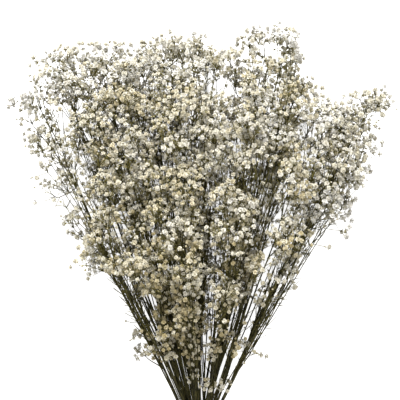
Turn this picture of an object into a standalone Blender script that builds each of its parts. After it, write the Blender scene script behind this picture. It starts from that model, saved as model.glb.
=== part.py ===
"""A dried gypsophila bunch: cut stems that fork into floret sprays, tied and laid down.

Each stem is one grown piece, with its twigs, rays and florets fused into it. The
stems fan out from a twine tie. +Y runs along them to the florets, +Z points up
from the surface they lie on, and sizes are in metres.
"""
import math
import random
from dataclasses import dataclass, field

import bmesh
import bpy
from mathutils import Vector

MM = 0.001

# The stems stand in three layers at the tie and fan out from it. Lean is how far
# a stem goes sideways for each metre along, and lift how far it rises.
LAYERS = (
    ("low", 0.08, 4.2 * MM, (-0.37, -0.13, 0.11, 0.34)),
    ("mid", 0.25, 8.1 * MM, (-0.46, -0.26, -0.02, 0.21, 0.46)),
    ("top", 0.50, 12.0 * MM, (-0.32, -0.10, 0.13, 0.33)),
)
SLOT_PITCH = 4.4 * MM
FAN_START = 6.0 * MM
FAN_EASE = 14.0 * MM
FAN_HEIGHT = 3.2 * MM
FAN_WHOLE = 2.0

# The stalks
STALK_BELOW = 130.0 * MM
STALK_RADIUS = 1.85 * MM
STALK_TIP_RADIUS = 0.9 * MM
STALK_POINTS = 9
STALK_BEND_POWER = 2.5
CUT_SPLAY = 0.5
CUT_SINK = 2.7 * MM
STALK_SIDES_RES = 1

# The twigs that leave a stalk, and the knob that each ends in
TWIG_RADIUS = 0.95 * MM
TWIG_TIP_RADIUS = 0.7 * MM
TWIG_STEPS = 3
TWIG_SHORTEST = 14.0 * MM
TWIG_FIRST = 32.0 * MM
TWIG_ANGLE = math.radians(30.0)
TWIG_ANGLE_COST = 1.1
TWIG_START_PULL = 0.33
TWIG_END_PULL = 0.25
TWIG_ALONG_WOOD = 0.6
KNOB_RADIUS = 1.25 * MM

# A spray is a knob with rays, each with a floret at its end
RAY_COUNT = 5
RAY_RADIUS = 0.62 * MM
RAY_LENGTH = (24.0 * MM, 36.0 * MM)
RAY_SPREAD = (math.radians(26.0), math.radians(58.0))
RAY_TRIES = 60
RAY_TURN_JITTER = 0.5
RAY_TURN_STEP = 0.05
RAY_SHORTENING = 0.45
SPRAY_REACH = 24.0 * MM
SPRAY_SOURCE = 0.7
SPRAY_JITTER = 0.22
HEAD_SPACING = 10.0 * MM
HEAD_SEED = 500

# A floret is a cup with three petals, deep notches between them and a raised middle
FLORET_RADIUS = 4.9 * MM
FLORET_NOTCH_RADIUS = 3.4 * MM
FLORET_NOTCH_DROP = 0.5 * MM
FLORET_THROAT = 1.8 * MM
FLORET_RIM = 0.9 * MM
FLORET_CROWN = 1.3 * MM
LOWEST_HEAD = 5.6 * MM
CELL_GAP = 0.6 * MM

# The outermost sprays, which draw the fan's outline: side, along, height, size
EDGE_SPRAYS = (
    (-74, 122, 34, 0.45), (-119, 231, 60, 0.7), (-130, 274, 72, 0.9),
    (-166, 328, 70, 0.85), (-184, 374, 84, 0.85), (-203, 404, 70, 0.6),
    (-184, 426, 96, 0.9), (-168, 464, 86, 0.6), (-150, 454, 78, 0.9),
    (-113, 466, 90, 1.0), (-70, 468, 70, 1.0), (-38, 478, 96, 1.0),
    (-4, 478, 66, 1.0), (38, 468, 90, 1.0), (78, 490, 74, 1.0),
    (104, 484, 98, 0.8), (101, 440, 60, 1.0), (121, 418, 96, 1.0),
    (157, 396, 74, 1.0), (174, 404, 84, 0.6), (200, 418, 92, 0.9),
    (176, 366, 70, 1.0), (172, 338, 96, 1.0), (160, 302, 62, 1.0),
    (134, 284, 84, 0.7), (106, 233, 54, 0.6), (92, 200, 44, 0.4),
)
# Small sprays in front of the bare stalks near the tie
FRONT_SPRAYS = (
    (-43, 125, 58, 0.4), (-17, 128, 64, 0.42), (11, 130, 66, 0.42), (33, 136, 58, 0.4),
)

# Sprays on the underside whose first floret lies on the surface: side, along, height
RESTING_SPRAYS = (
    (-92, 292, 22), (-36, 382, 23), (34, 318, 22), (104, 352, 23),
)
REST_HEIGHT = 1.6 * MM

# The sprays that fill the fan, but for the bare strip beside the right-hand limb
FILL_SEED = 11
FILL_TRIES = 6000
FILL_SPACING = 50.0 * MM
FILL_COUNT = 58
FILL_FIRST = 150.0 * MM
FILL_FIRST_AT_SIDE = 95.0 * MM
FILL_LAST = 470.0 * MM
FILL_INSET = 34.0 * MM
FILL_SIDE_INSET = 20.0 * MM
BARE_LEAN = 0.29
BARE_LAST = 262.0 * MM
FAN_SIDE = 0.55
RIM_WINDOW = 0.06
DOME_HEIGHT = 178.0 * MM
DOME_SIDE = 0.66
DOME_FULL_AT = 245.0 * MM
DOME_FALL = 0.42
DOME_FALL_POWER = 1.5
BELLY_HEIGHT = 16.0 * MM
BELLY_SIDE_RISE = 52.0 * MM

# The tie
TWINE_RADIUS = 1.0 * MM
TWINE_PITCH = 2.35 * MM
TWINE_TURNS = 3
TWINE_STEPS = 24
TWINE_START_TURN = 0.25
TWINE_GAP = 0.34 * MM
TWINE_SIDES_RES = 1
KNOT_WIDTH = 3.4 * MM
KNOT_HEIGHT = 1.9 * MM
KNOT_SEGMENTS = 10
KNOT_RINGS = 7
KNOT_SINK = 0.4 * MM
TAIL_LENGTH = 22.0 * MM
TAIL_ROOT = 1.0 * MM
TAIL_SPREAD = 7.0 * MM
TAIL_HUMP = 2.4 * MM
TAIL_CURL = 1.4
TAIL_STEPS = 6

FLOOR_BLOCK = 2.0
WELD = 0.00001


@dataclass
class Stem:
    """One cut stem: its direction in the fan, its place at the tie and its sprays."""

    name: str
    lean: float
    lift: float
    slot: Vector
    sprays: list = field(default_factory=list)


@dataclass
class Spray:
    """A knob that rays leave from, in the direction the twig grows."""

    centre: Vector
    size: float
    seed: int
    rests: bool = False
    growth: Vector = field(default_factory=Vector)
    knob: Vector = field(default_factory=Vector)
    heads: list = field(default_factory=list)


def make_stems():
    """Place the stems in their layers at the tie."""
    stems = []
    for layer, lift, height, leans in LAYERS:
        for number, lean in enumerate(leans, start=1):
            column = number - (len(leans) + 1) / 2
            slot = Vector((column * SLOT_PITCH, 0.0, height))
            stems.append(Stem(f"stem_{layer}_{number}", lean, lift, slot))
    return stems


def axis_point(stem, along):
    """Return the point of a stem's natural line at a distance along the bunch."""
    past = max(0.0, along - FAN_START)
    flare = past * past / (past + FAN_EASE)
    below = max(0.0, -along - FAN_START) / STALK_BELOW
    side = stem.slot.x * (1.0 + CUT_SPLAY * below) + stem.lean * flare
    sink = CUT_SINK * below if stem.name.startswith("stem_low") else 0.0
    return Vector((side, along, stem.slot.z + stem.lift * flare - sink))


def fan_place(point):
    """Return a point's lean and lift as seen from the tie, and its distance."""
    past = max(point.y - FAN_START, MM)
    return point.x / past, (point.z - FAN_HEIGHT) / past, past


def nearest_stem(stems, point):
    """Return the stem whose part of the fan a point is in."""
    lean, lift, _ = fan_place(point)
    return min(stems, key=lambda stem: (lean - stem.lean) ** 2 + (lift - stem.lift) ** 2)


def room_in_fan(stems, own, point):
    """Return how far a point is from the nearest neighbour's part of the fan."""
    lean, lift, past = fan_place(point)
    here = (lean - own.lean) ** 2 + (lift - own.lift) ** 2
    slant = math.sqrt(1.0 + lean * lean + lift * lift)
    room = FAN_WHOLE
    for other in stems:
        if other is own:
            continue
        there = (lean - other.lean) ** 2 + (lift - other.lift) ** 2
        apart = math.hypot(own.lean - other.lean, own.lift - other.lift)
        room = min(room, (there - here) / (2.0 * apart) * past / slant)
    return room


def outline_reach(lean):
    """Return how far along the fan reaches at a lean, from the outermost sprays near it."""
    near = [along for side, along, _, _ in EDGE_SPRAYS if abs(side / along - lean) < RIM_WINDOW]
    return max(near, default=0) * MM


def dome_top(lean, along):
    """Return the height of the bunch's upper side over a place in the fan."""
    across = math.sqrt(max(0.0, 1.0 - (lean / DOME_SIDE) ** 2))
    rise = min(1.0, along / DOME_FULL_AT)
    past = max(0.0, along - DOME_FULL_AT) / (FILL_LAST - DOME_FULL_AT)
    fall = 1.0 - DOME_FALL * past ** DOME_FALL_POWER
    return DOME_HEIGHT * across * rise * fall


def belly_bottom(lean):
    """Return the height of the bunch's underside at a lean."""
    return BELLY_HEIGHT + BELLY_SIDE_RISE * (lean / FAN_SIDE) ** 2


def place_sprays():
    """Return the outermost, the front and the filling sprays, in that order."""
    sprays = []
    for side, along, height, size in EDGE_SPRAYS + FRONT_SPRAYS:
        centre = Vector((side * MM, along * MM, height * MM))
        sprays.append(Spray(centre, size, len(sprays)))
    for side, along, height in RESTING_SPRAYS:
        centre = Vector((side * MM, along * MM, height * MM))
        sprays.append(Spray(centre, 1.0, len(sprays), rests=True))
    draw = random.Random(FILL_SEED)
    wanted = len(sprays) + FILL_COUNT
    for _ in range(FILL_TRIES):
        if len(sprays) == wanted:
            break
        lean = draw.uniform(-FAN_SIDE, FAN_SIDE)
        along = draw.uniform(FILL_FIRST, FILL_LAST)
        share = draw.random()
        if along < FILL_FIRST + FILL_FIRST_AT_SIDE * (lean / FAN_SIDE) ** 2:
            continue
        if along > outline_reach(lean) - FILL_INSET:
            continue
        if (FAN_SIDE - abs(lean)) * along < FILL_SIDE_INSET:
            continue
        if lean > BARE_LEAN and along < BARE_LAST:
            continue
        low = belly_bottom(lean)
        high = dome_top(lean, along)
        if high < low:
            continue
        centre = Vector((lean * along, along, low + (high - low) * share))
        if all((centre - other.centre).length > FILL_SPACING for other in sprays):
            sprays.append(Spray(centre, 1.0, len(sprays)))
    return sprays


def aim_spray(stem, spray):
    """Set the direction that a spray grows in, and the place of its knob."""
    draw = random.Random(spray.seed)
    source = axis_point(stem, SPRAY_SOURCE * spray.centre.y)
    growth = (spray.centre - source).normalized()
    jitter = Vector((draw.uniform(-1, 1), draw.uniform(-1, 1), draw.uniform(-1, 1)))
    spray.growth = (growth + SPRAY_JITTER * jitter).normalized()
    spray.knob = spray.centre - spray.growth * SPRAY_REACH * spray.size


def grow_heads(stems, stem, spray):
    """Set the places of a spray's florets, inside its own stem's part of the fan."""
    draw = random.Random(spray.seed + HEAD_SEED)
    side = spray.growth.cross(Vector((0.0, 0.0, 1.0))).normalized()
    up = side.cross(spray.growth)
    turn = draw.uniform(0.0, math.tau)
    margin = FLORET_RADIUS + CELL_GAP
    for number in range(RAY_COUNT):
        for attempt in range(RAY_TRIES):
            spread = draw.uniform(0.0, RAY_SPREAD[0]) if number == 0 else draw.uniform(*RAY_SPREAD)
            about = turn + math.tau * number / (RAY_COUNT - 1) + RAY_TURN_STEP * attempt
            about += draw.uniform(-RAY_TURN_JITTER, RAY_TURN_JITTER)
            length = draw.uniform(*RAY_LENGTH) * spray.size
            length *= 1.0 - RAY_SHORTENING * attempt / RAY_TRIES
            sideways = side * math.cos(about) + up * math.sin(about)
            heading = spray.growth * math.cos(spread) + sideways * math.sin(spread)
            head = spray.knob + heading * length
            if number == 0 and spray.rests:
                head.z = REST_HEIGHT
            apart = all((head - other).length > HEAD_SPACING for other in spray.heads)
            inside = room_in_fan(stems, stem, head) > margin
            above = head.z > LOWEST_HEAD or (number == 0 and spray.rests)
            if apart and inside and above:
                spray.heads.append(head)
                break


def bezier(start, start_pull, end_pull, end, share):
    """Return a point on a cubic curve."""
    rest = 1.0 - share
    return (start * rest ** 3 + start_pull * 3.0 * rest ** 2 * share
            + end_pull * 3.0 * rest * share ** 2 + end * share ** 3)


def stalk_line(stem):
    """Return a stalk's points and radii, from its cut end to its last knob."""
    crown = max(stem.sprays, key=lambda spray: spray.knob.y)
    top = crown.knob.y
    bend = crown.knob - axis_point(stem, top)
    places = [-STALK_BELOW, -0.5 * STALK_BELOW, -FAN_START, FAN_START]
    for step in range(1, STALK_POINTS + 1):
        places.append(FAN_START + (top - FAN_START) * step / STALK_POINTS)
    points = []
    radii = []
    for along in places:
        share = max(0.0, (along - FAN_START) / (top - FAN_START))
        points.append(axis_point(stem, along) + bend * share ** STALK_BEND_POWER)
        radii.append(STALK_RADIUS + (STALK_TIP_RADIUS - STALK_RADIUS) * share)
    return points, radii, crown


def best_join(lines, knob):
    """Return where a twig for a knob leaves the wood that is there, and its heading."""
    best = None
    for points in lines:
        for before, here in zip(points, points[1:]):
            if here.y < TWIG_FIRST:
                continue
            run = (here - before).normalized()
            way = knob - here
            if way.length < TWIG_SHORTEST:
                continue
            angle = run.angle(way)
            cost = way.length * (1.0 + TWIG_ANGLE_COST * abs(angle - TWIG_ANGLE))
            if best is None or cost < best[0]:
                best = (cost, here, run)
    return best[1], best[2]


def twig_line(start, run, spray):
    """Return a twig's points, leaving along the wood and ending along its growth."""
    reach = (spray.knob - start).length
    out = ((spray.knob - start).normalized() + TWIG_ALONG_WOOD * run).normalized()
    start_pull = start + out * reach * TWIG_START_PULL
    end_pull = spray.knob - spray.growth * reach * TWIG_END_PULL
    steps = range(TWIG_STEPS + 1)
    return [bezier(start, start_pull, end_pull, spray.knob, step / TWIG_STEPS) for step in steps]


def grow_bunch():
    """Grow every stem: stalk and twig lines, knobs and floret places."""
    stems = make_stems()
    for spray in place_sprays():
        stem = nearest_stem(stems, spray.centre)
        aim_spray(stem, spray)
        grow_heads(stems, stem, spray)
        stem.sprays.append(spray)
    grown = []
    for stem in stems:
        stalk, radii, crown = stalk_line(stem)
        lines = [stalk]
        twigs = []
        for spray in sorted(stem.sprays, key=lambda item: item.knob.y):
            if spray is crown:
                continue
            start, run = best_join(lines, spray.knob)
            line = twig_line(start, run, spray)
            lines.append(line)
            twigs.append(line)
        grown.append((stem, stalk, radii, twigs))
    return grown


def principled(name, colour, roughness):
    """Return a plain material with one shader."""
    material = bpy.data.materials.new(name)
    material.use_nodes = True
    shader = material.node_tree.nodes["Principled BSDF"]
    shader.inputs["Base Color"].default_value = (*colour, 1.0)
    shader.inputs["Roughness"].default_value = roughness
    shader.inputs["Metallic"].default_value = 0.0
    return material


def tube_object(name, points, radii, sides_res, collection):
    """Return a closed tube mesh that follows points, made from a bevelled curve."""
    curve = bpy.data.curves.new(name, "CURVE")
    curve.dimensions = "3D"
    curve.bevel_depth = 1.0
    curve.bevel_resolution = sides_res
    curve.use_fill_caps = True
    spline = curve.splines.new("POLY")
    spline.points.add(len(points) - 1)
    for place, point, radius in zip(spline.points, points, radii):
        place.co = (*point, 1.0)
        place.radius = radius
    source = bpy.data.objects.new(name + "_curve", curve)
    bpy.context.scene.collection.objects.link(source)
    graph = bpy.context.evaluated_depsgraph_get()
    mesh = bpy.data.meshes.new_from_object(source.evaluated_get(graph))
    weld_mesh(mesh)
    tube = bpy.data.objects.new(name, mesh)
    tube.matrix_world = source.matrix_world
    collection.objects.link(tube)
    bpy.data.objects.remove(source)
    bpy.data.curves.remove(curve)
    return tube


def weld_mesh(mesh):
    """Join a mesh's caps to its walls and point its faces outwards."""
    form = bmesh.new()
    form.from_mesh(mesh)
    bmesh.ops.remove_doubles(form, verts=form.verts, dist=WELD)
    bmesh.ops.recalc_face_normals(form, faces=form.faces)
    form.to_mesh(mesh)
    form.free()


def ring_out(face, centre, heading, radius):
    """Set a face's corners evenly round a centre, square to a heading."""
    middle = face.calc_center_median()
    for corner in face.verts:
        outward = corner.co - middle
        outward -= heading * outward.dot(heading)
        corner.co = centre + outward.normalized() * radius


def grow_floret(form, seat, way):
    """Draw one face of a knob out to a three-sided ray with a three-petalled floret."""
    heading = way.normalized()
    throat = bmesh.ops.extrude_discrete_faces(form, faces=[seat])["faces"][0]
    ring_out(throat, way - heading * FLORET_THROAT, heading, RAY_RADIUS)
    rim = bmesh.ops.extrude_discrete_faces(form, faces=[throat])["faces"][0]
    centre = way + heading * FLORET_RIM
    ring_out(rim, centre, heading, FLORET_RADIUS)
    tips = set(rim.verts)
    bmesh.ops.subdivide_edges(form, edges=list(rim.edges), cuts=1)
    for notch in set(rim.verts) - tips:
        outward = (notch.co - centre).normalized()
        notch.co = centre + outward * FLORET_NOTCH_RADIUS - heading * FLORET_NOTCH_DROP
    crown = bmesh.ops.poke(form, faces=[rim])["verts"][0]
    crown.co += heading * FLORET_CROWN


def spray_object(name, spray, collection):
    """Return a knob with its rays and florets, as one closed mesh."""
    form = bmesh.new()
    bmesh.ops.create_icosphere(form, subdivisions=1, radius=KNOB_RADIUS)
    free = list(form.faces)
    seats = []
    for head in spray.heads:
        way = head - spray.knob
        seat = max(free, key=lambda face: face.normal.dot(way))
        free.remove(seat)
        seats.append((seat, way))
    for seat, way in seats:
        grow_floret(form, seat, way)
    bmesh.ops.triangulate(form, faces=form.faces)
    mesh = bpy.data.meshes.new(name)
    form.to_mesh(mesh)
    form.free()
    item = bpy.data.objects.new(name, mesh)
    item.location = spray.knob
    collection.objects.link(item)
    return item


def fuse(body, repeats):
    """Join a collection of repeats to a body with one union, and remove them."""
    union = body.modifiers.new("union", "BOOLEAN")
    union.operation = "UNION"
    union.operand_type = "COLLECTION"
    union.collection = repeats
    apply_modifiers(body)
    for item in list(repeats.objects):
        bpy.data.objects.remove(item)
    bpy.data.collections.remove(repeats)


def apply_modifiers(body):
    """Replace an object's mesh with the evaluated one and drop its modifiers."""
    graph = bpy.context.evaluated_depsgraph_get()
    mesh = bpy.data.meshes.new_from_object(body.evaluated_get(graph))
    body.modifiers.clear()
    body.data = mesh


def trim_at_surface(body, block):
    """Cut a stem flat where it would reach below the surface it lies on."""
    cut = body.modifiers.new("trim", "BOOLEAN")
    cut.operation = "DIFFERENCE"
    cut.object = block
    apply_modifiers(body)


def hidden_collection(name):
    """Return a new collection for pieces that are cutters or are fused away."""
    collection = bpy.data.collections.new(name)
    bpy.context.scene.collection.children.link(collection)
    return collection


def floor_cutter(collection):
    """Return the block under the surface, which trims what would sink into it."""
    bpy.ops.mesh.primitive_cube_add(size=FLOOR_BLOCK, location=(0.0, 0.0, -FLOOR_BLOCK / 2.0))
    block = bpy.context.object
    block.name = "surface_cutter"
    block.hide_render = True
    block.display_type = "WIRE"
    for owner in list(block.users_collection):
        owner.objects.unlink(block)
    collection.objects.link(block)
    return block


def build_stem(stem, stalk, radii, twigs, wood, block, bunch):
    """Build one stem with its twigs, knobs, rays and florets as one solid."""
    body = tube_object(stem.name, stalk, radii, STALK_SIDES_RES, bunch)
    repeats = hidden_collection(stem.name + "_repeats")
    for number, line in enumerate(twigs):
        steps = len(line) - 1
        taper = [TWIG_RADIUS + (TWIG_TIP_RADIUS - TWIG_RADIUS) * step / steps
                 for step in range(steps + 1)]
        tube_object(f"{stem.name}_twig_{number}", line, taper, 0, repeats)
    for number, spray in enumerate(stem.sprays):
        spray_object(f"{stem.name}_spray_{number}", spray, repeats)
    fuse(body, repeats)
    if min(corner.co.z for corner in body.data.vertices) < 0.0:
        trim_at_surface(body, block)
    body.data.materials.clear()
    body.data.materials.append(wood)
    return body


def wrap_point(stems, turn, reach):
    """Return where a taut band round the stalks runs in the direction of a turn."""
    facing = Vector((math.cos(turn), 0.0, math.sin(turn)))
    outer = max(stems, key=lambda stem: stem.slot.dot(facing))
    return outer.slot + facing * reach


def knot_object(height, collection):
    """Return the knot, an oval lump across all the twine's turns."""
    form = bmesh.new()
    bmesh.ops.create_uvsphere(form, u_segments=KNOT_SEGMENTS, v_segments=KNOT_RINGS, radius=1.0)
    half_length = TWINE_PITCH * TWINE_TURNS / 2.0 + TWINE_RADIUS
    bmesh.ops.scale(form, verts=form.verts, vec=(KNOT_WIDTH, half_length, KNOT_HEIGHT))
    mesh = bpy.data.meshes.new("knot")
    form.to_mesh(mesh)
    form.free()
    knot = bpy.data.objects.new("knot", mesh)
    knot.location = (0.0, 0.0, height)
    collection.objects.link(knot)
    return knot


def tail_line(hand, height):
    """Return the points of one of the twine's two ends, which curls off the knot."""
    line = []
    for step in range(TAIL_STEPS + 1):
        share = step / TAIL_STEPS
        side = hand * (TAIL_ROOT + TAIL_SPREAD * math.sin(share * TAIL_CURL))
        rise = height + TWINE_RADIUS + TAIL_HUMP * math.sin(share * math.pi)
        line.append(Vector((side, -TAIL_LENGTH * share, rise)))
    return line


def build_tie(stems, jute, bunch):
    """Build the twine's turns round the stalks, its knot and its two tails."""
    reach = STALK_RADIUS + TWINE_GAP + TWINE_RADIUS
    points = []
    for step in range(TWINE_TURNS * TWINE_STEPS + 1):
        turns = step / TWINE_STEPS
        point = wrap_point(stems, math.tau * (turns + TWINE_START_TURN), reach)
        point.y = TWINE_PITCH * (turns - TWINE_TURNS / 2.0)
        points.append(point)
    tie = tube_object("tie", points, [TWINE_RADIUS] * len(points), TWINE_SIDES_RES, bunch)
    repeats = hidden_collection("tie_repeats")
    top = max(point.z for point in points)
    knot = knot_object(top + KNOT_SINK, repeats)
    for hand in (-1.0, 1.0):
        line = tail_line(hand, knot.location.z)
        radii = [TWINE_RADIUS] * len(line)
        tube_object(f"tail_{hand}", line, radii, TWINE_SIDES_RES, repeats)
    fuse(tie, repeats)
    tie.data.materials.clear()
    tie.data.materials.append(jute)
    return tie


def centre_bunch(pieces):
    """Move every piece so that the origin is under the middle of the bunch."""
    corners = [corner.co for piece in pieces for corner in piece.data.vertices]
    middle_x = (min(co.x for co in corners) + max(co.x for co in corners)) / 2.0
    middle_y = (min(co.y for co in corners) + max(co.y for co in corners)) / 2.0
    lowest = min(co.z for co in corners)
    for piece in pieces:
        piece.location = (-middle_x, -middle_y, -lowest)


def main():
    """Build the bunch in an empty scene."""
    for item in list(bpy.data.objects):
        bpy.data.objects.remove(item)
    bunch = bpy.data.collections.new("gypsophila_bunch")
    bpy.context.scene.collection.children.link(bunch)
    cutters = hidden_collection("cutters")
    block = floor_cutter(cutters)
    wood = principled("dried_stem", (0.20, 0.19, 0.11), 0.75)
    jute = principled("jute_twine", (0.42, 0.30, 0.17), 0.9)
    grown = grow_bunch()
    pieces = []
    for stem, stalk, radii, twigs in grown:
        pieces.append(build_stem(stem, stalk, radii, twigs, wood, block, bunch))
    pieces.append(build_tie([item[0] for item in grown], jute, bunch))
    centre_bunch(pieces)


main()
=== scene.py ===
"""The looks of a dried gypsophila bunch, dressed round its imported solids.

The stems are grown again by the rules that made the solids, and then get their
fine rays, pedicels and thousands of small florets. The plan is drawn with the
tie's middle at the origin, and moved to the solids' place at the end.
"""

import itertools
import logging
import math
import random
from dataclasses import dataclass, field
from enum import Enum
from typing import Iterable, Iterator, Optional

import bmesh
import bpy
from mathutils import Matrix, Vector


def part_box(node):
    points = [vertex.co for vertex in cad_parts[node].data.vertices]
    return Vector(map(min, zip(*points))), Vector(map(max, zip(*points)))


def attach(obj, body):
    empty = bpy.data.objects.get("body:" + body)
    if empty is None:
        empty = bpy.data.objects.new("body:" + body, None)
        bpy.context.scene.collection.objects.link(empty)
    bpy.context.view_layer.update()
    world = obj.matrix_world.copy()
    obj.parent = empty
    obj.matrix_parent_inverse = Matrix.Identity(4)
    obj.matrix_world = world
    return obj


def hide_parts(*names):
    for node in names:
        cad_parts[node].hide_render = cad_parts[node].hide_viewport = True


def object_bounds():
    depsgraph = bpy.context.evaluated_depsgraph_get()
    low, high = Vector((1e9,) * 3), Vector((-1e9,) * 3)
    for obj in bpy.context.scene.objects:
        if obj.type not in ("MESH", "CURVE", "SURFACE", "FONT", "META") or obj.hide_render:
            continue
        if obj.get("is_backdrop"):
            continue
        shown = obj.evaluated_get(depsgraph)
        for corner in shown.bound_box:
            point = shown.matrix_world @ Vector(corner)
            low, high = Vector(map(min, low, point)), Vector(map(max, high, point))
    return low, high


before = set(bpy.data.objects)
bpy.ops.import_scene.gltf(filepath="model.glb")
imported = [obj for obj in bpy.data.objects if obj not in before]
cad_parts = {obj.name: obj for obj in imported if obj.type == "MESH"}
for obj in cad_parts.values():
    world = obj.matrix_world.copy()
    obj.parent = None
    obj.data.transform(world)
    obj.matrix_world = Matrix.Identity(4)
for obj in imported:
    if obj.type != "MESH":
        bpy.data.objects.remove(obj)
CAD_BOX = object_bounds()

LOG = logging.getLogger("bunch")
MM = 0.001
UP = Vector((0.0, 0.0, 1.0))
UPRIGHT = 0.9
WELD = 0.000001


class WoodPart(Enum):
    """What a length of wood is, from the thickest to the finest."""

    STALK = "stalk"
    TWIG = "twig"
    RAY = "ray"
    PEDICEL = "pedicel"


class FloretKind(Enum):
    """How far a floret had opened when it was dried."""

    OPEN = "open"
    RUFFLED = "ruffled"
    HALF = "half"
    BUD = "bud"


@dataclass
class Spray:
    """A knob that rays leave from, in the direction that the twig grows."""

    centre: Vector
    size: float
    seed: int
    rests: bool = False
    fine: bool = False
    growth: Vector = field(default_factory=Vector)
    knob: Vector = field(default_factory=Vector)
    heads: list[Vector] = field(default_factory=list)


@dataclass
class Stem:
    """One cut stem: its direction in the fan, its place at the tie and what it bears."""

    name: str
    lean: float
    lift: float
    slot: Vector
    sprays: list[Spray] = field(default_factory=list)
    stalk: list[Vector] = field(default_factory=list)
    twigs: list[list[Vector]] = field(default_factory=list)
    fine_sprays: list[Spray] = field(default_factory=list)


@dataclass
class Tube:
    """A length of wood, as points with a radius at each."""

    points: list[Vector]
    radii: list[float]
    part: WoodPart


@dataclass
class Floret:
    """One floret: where it sits, where it faces, and how it differs from the next."""

    place: Vector
    heading: Vector
    kind: FloretKind
    size: float
    # The tone also carries painted light at the rim and painted shade near the tie
    tone: float
    roll: float
    fine: bool


def place_in_mm(side: float, along: float, height: float) -> Vector:
    """Make a place from millimetres."""
    return Vector((side * MM, along * MM, height * MM))


def between(start: float, end: float, share: float) -> float:
    """Give the value a share of the way from one value to another."""
    return start + (end - start) * share


def clamped(share: float) -> float:
    """Keep a share between 0 and 1."""
    return min(1.0, max(0.0, share))


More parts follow.
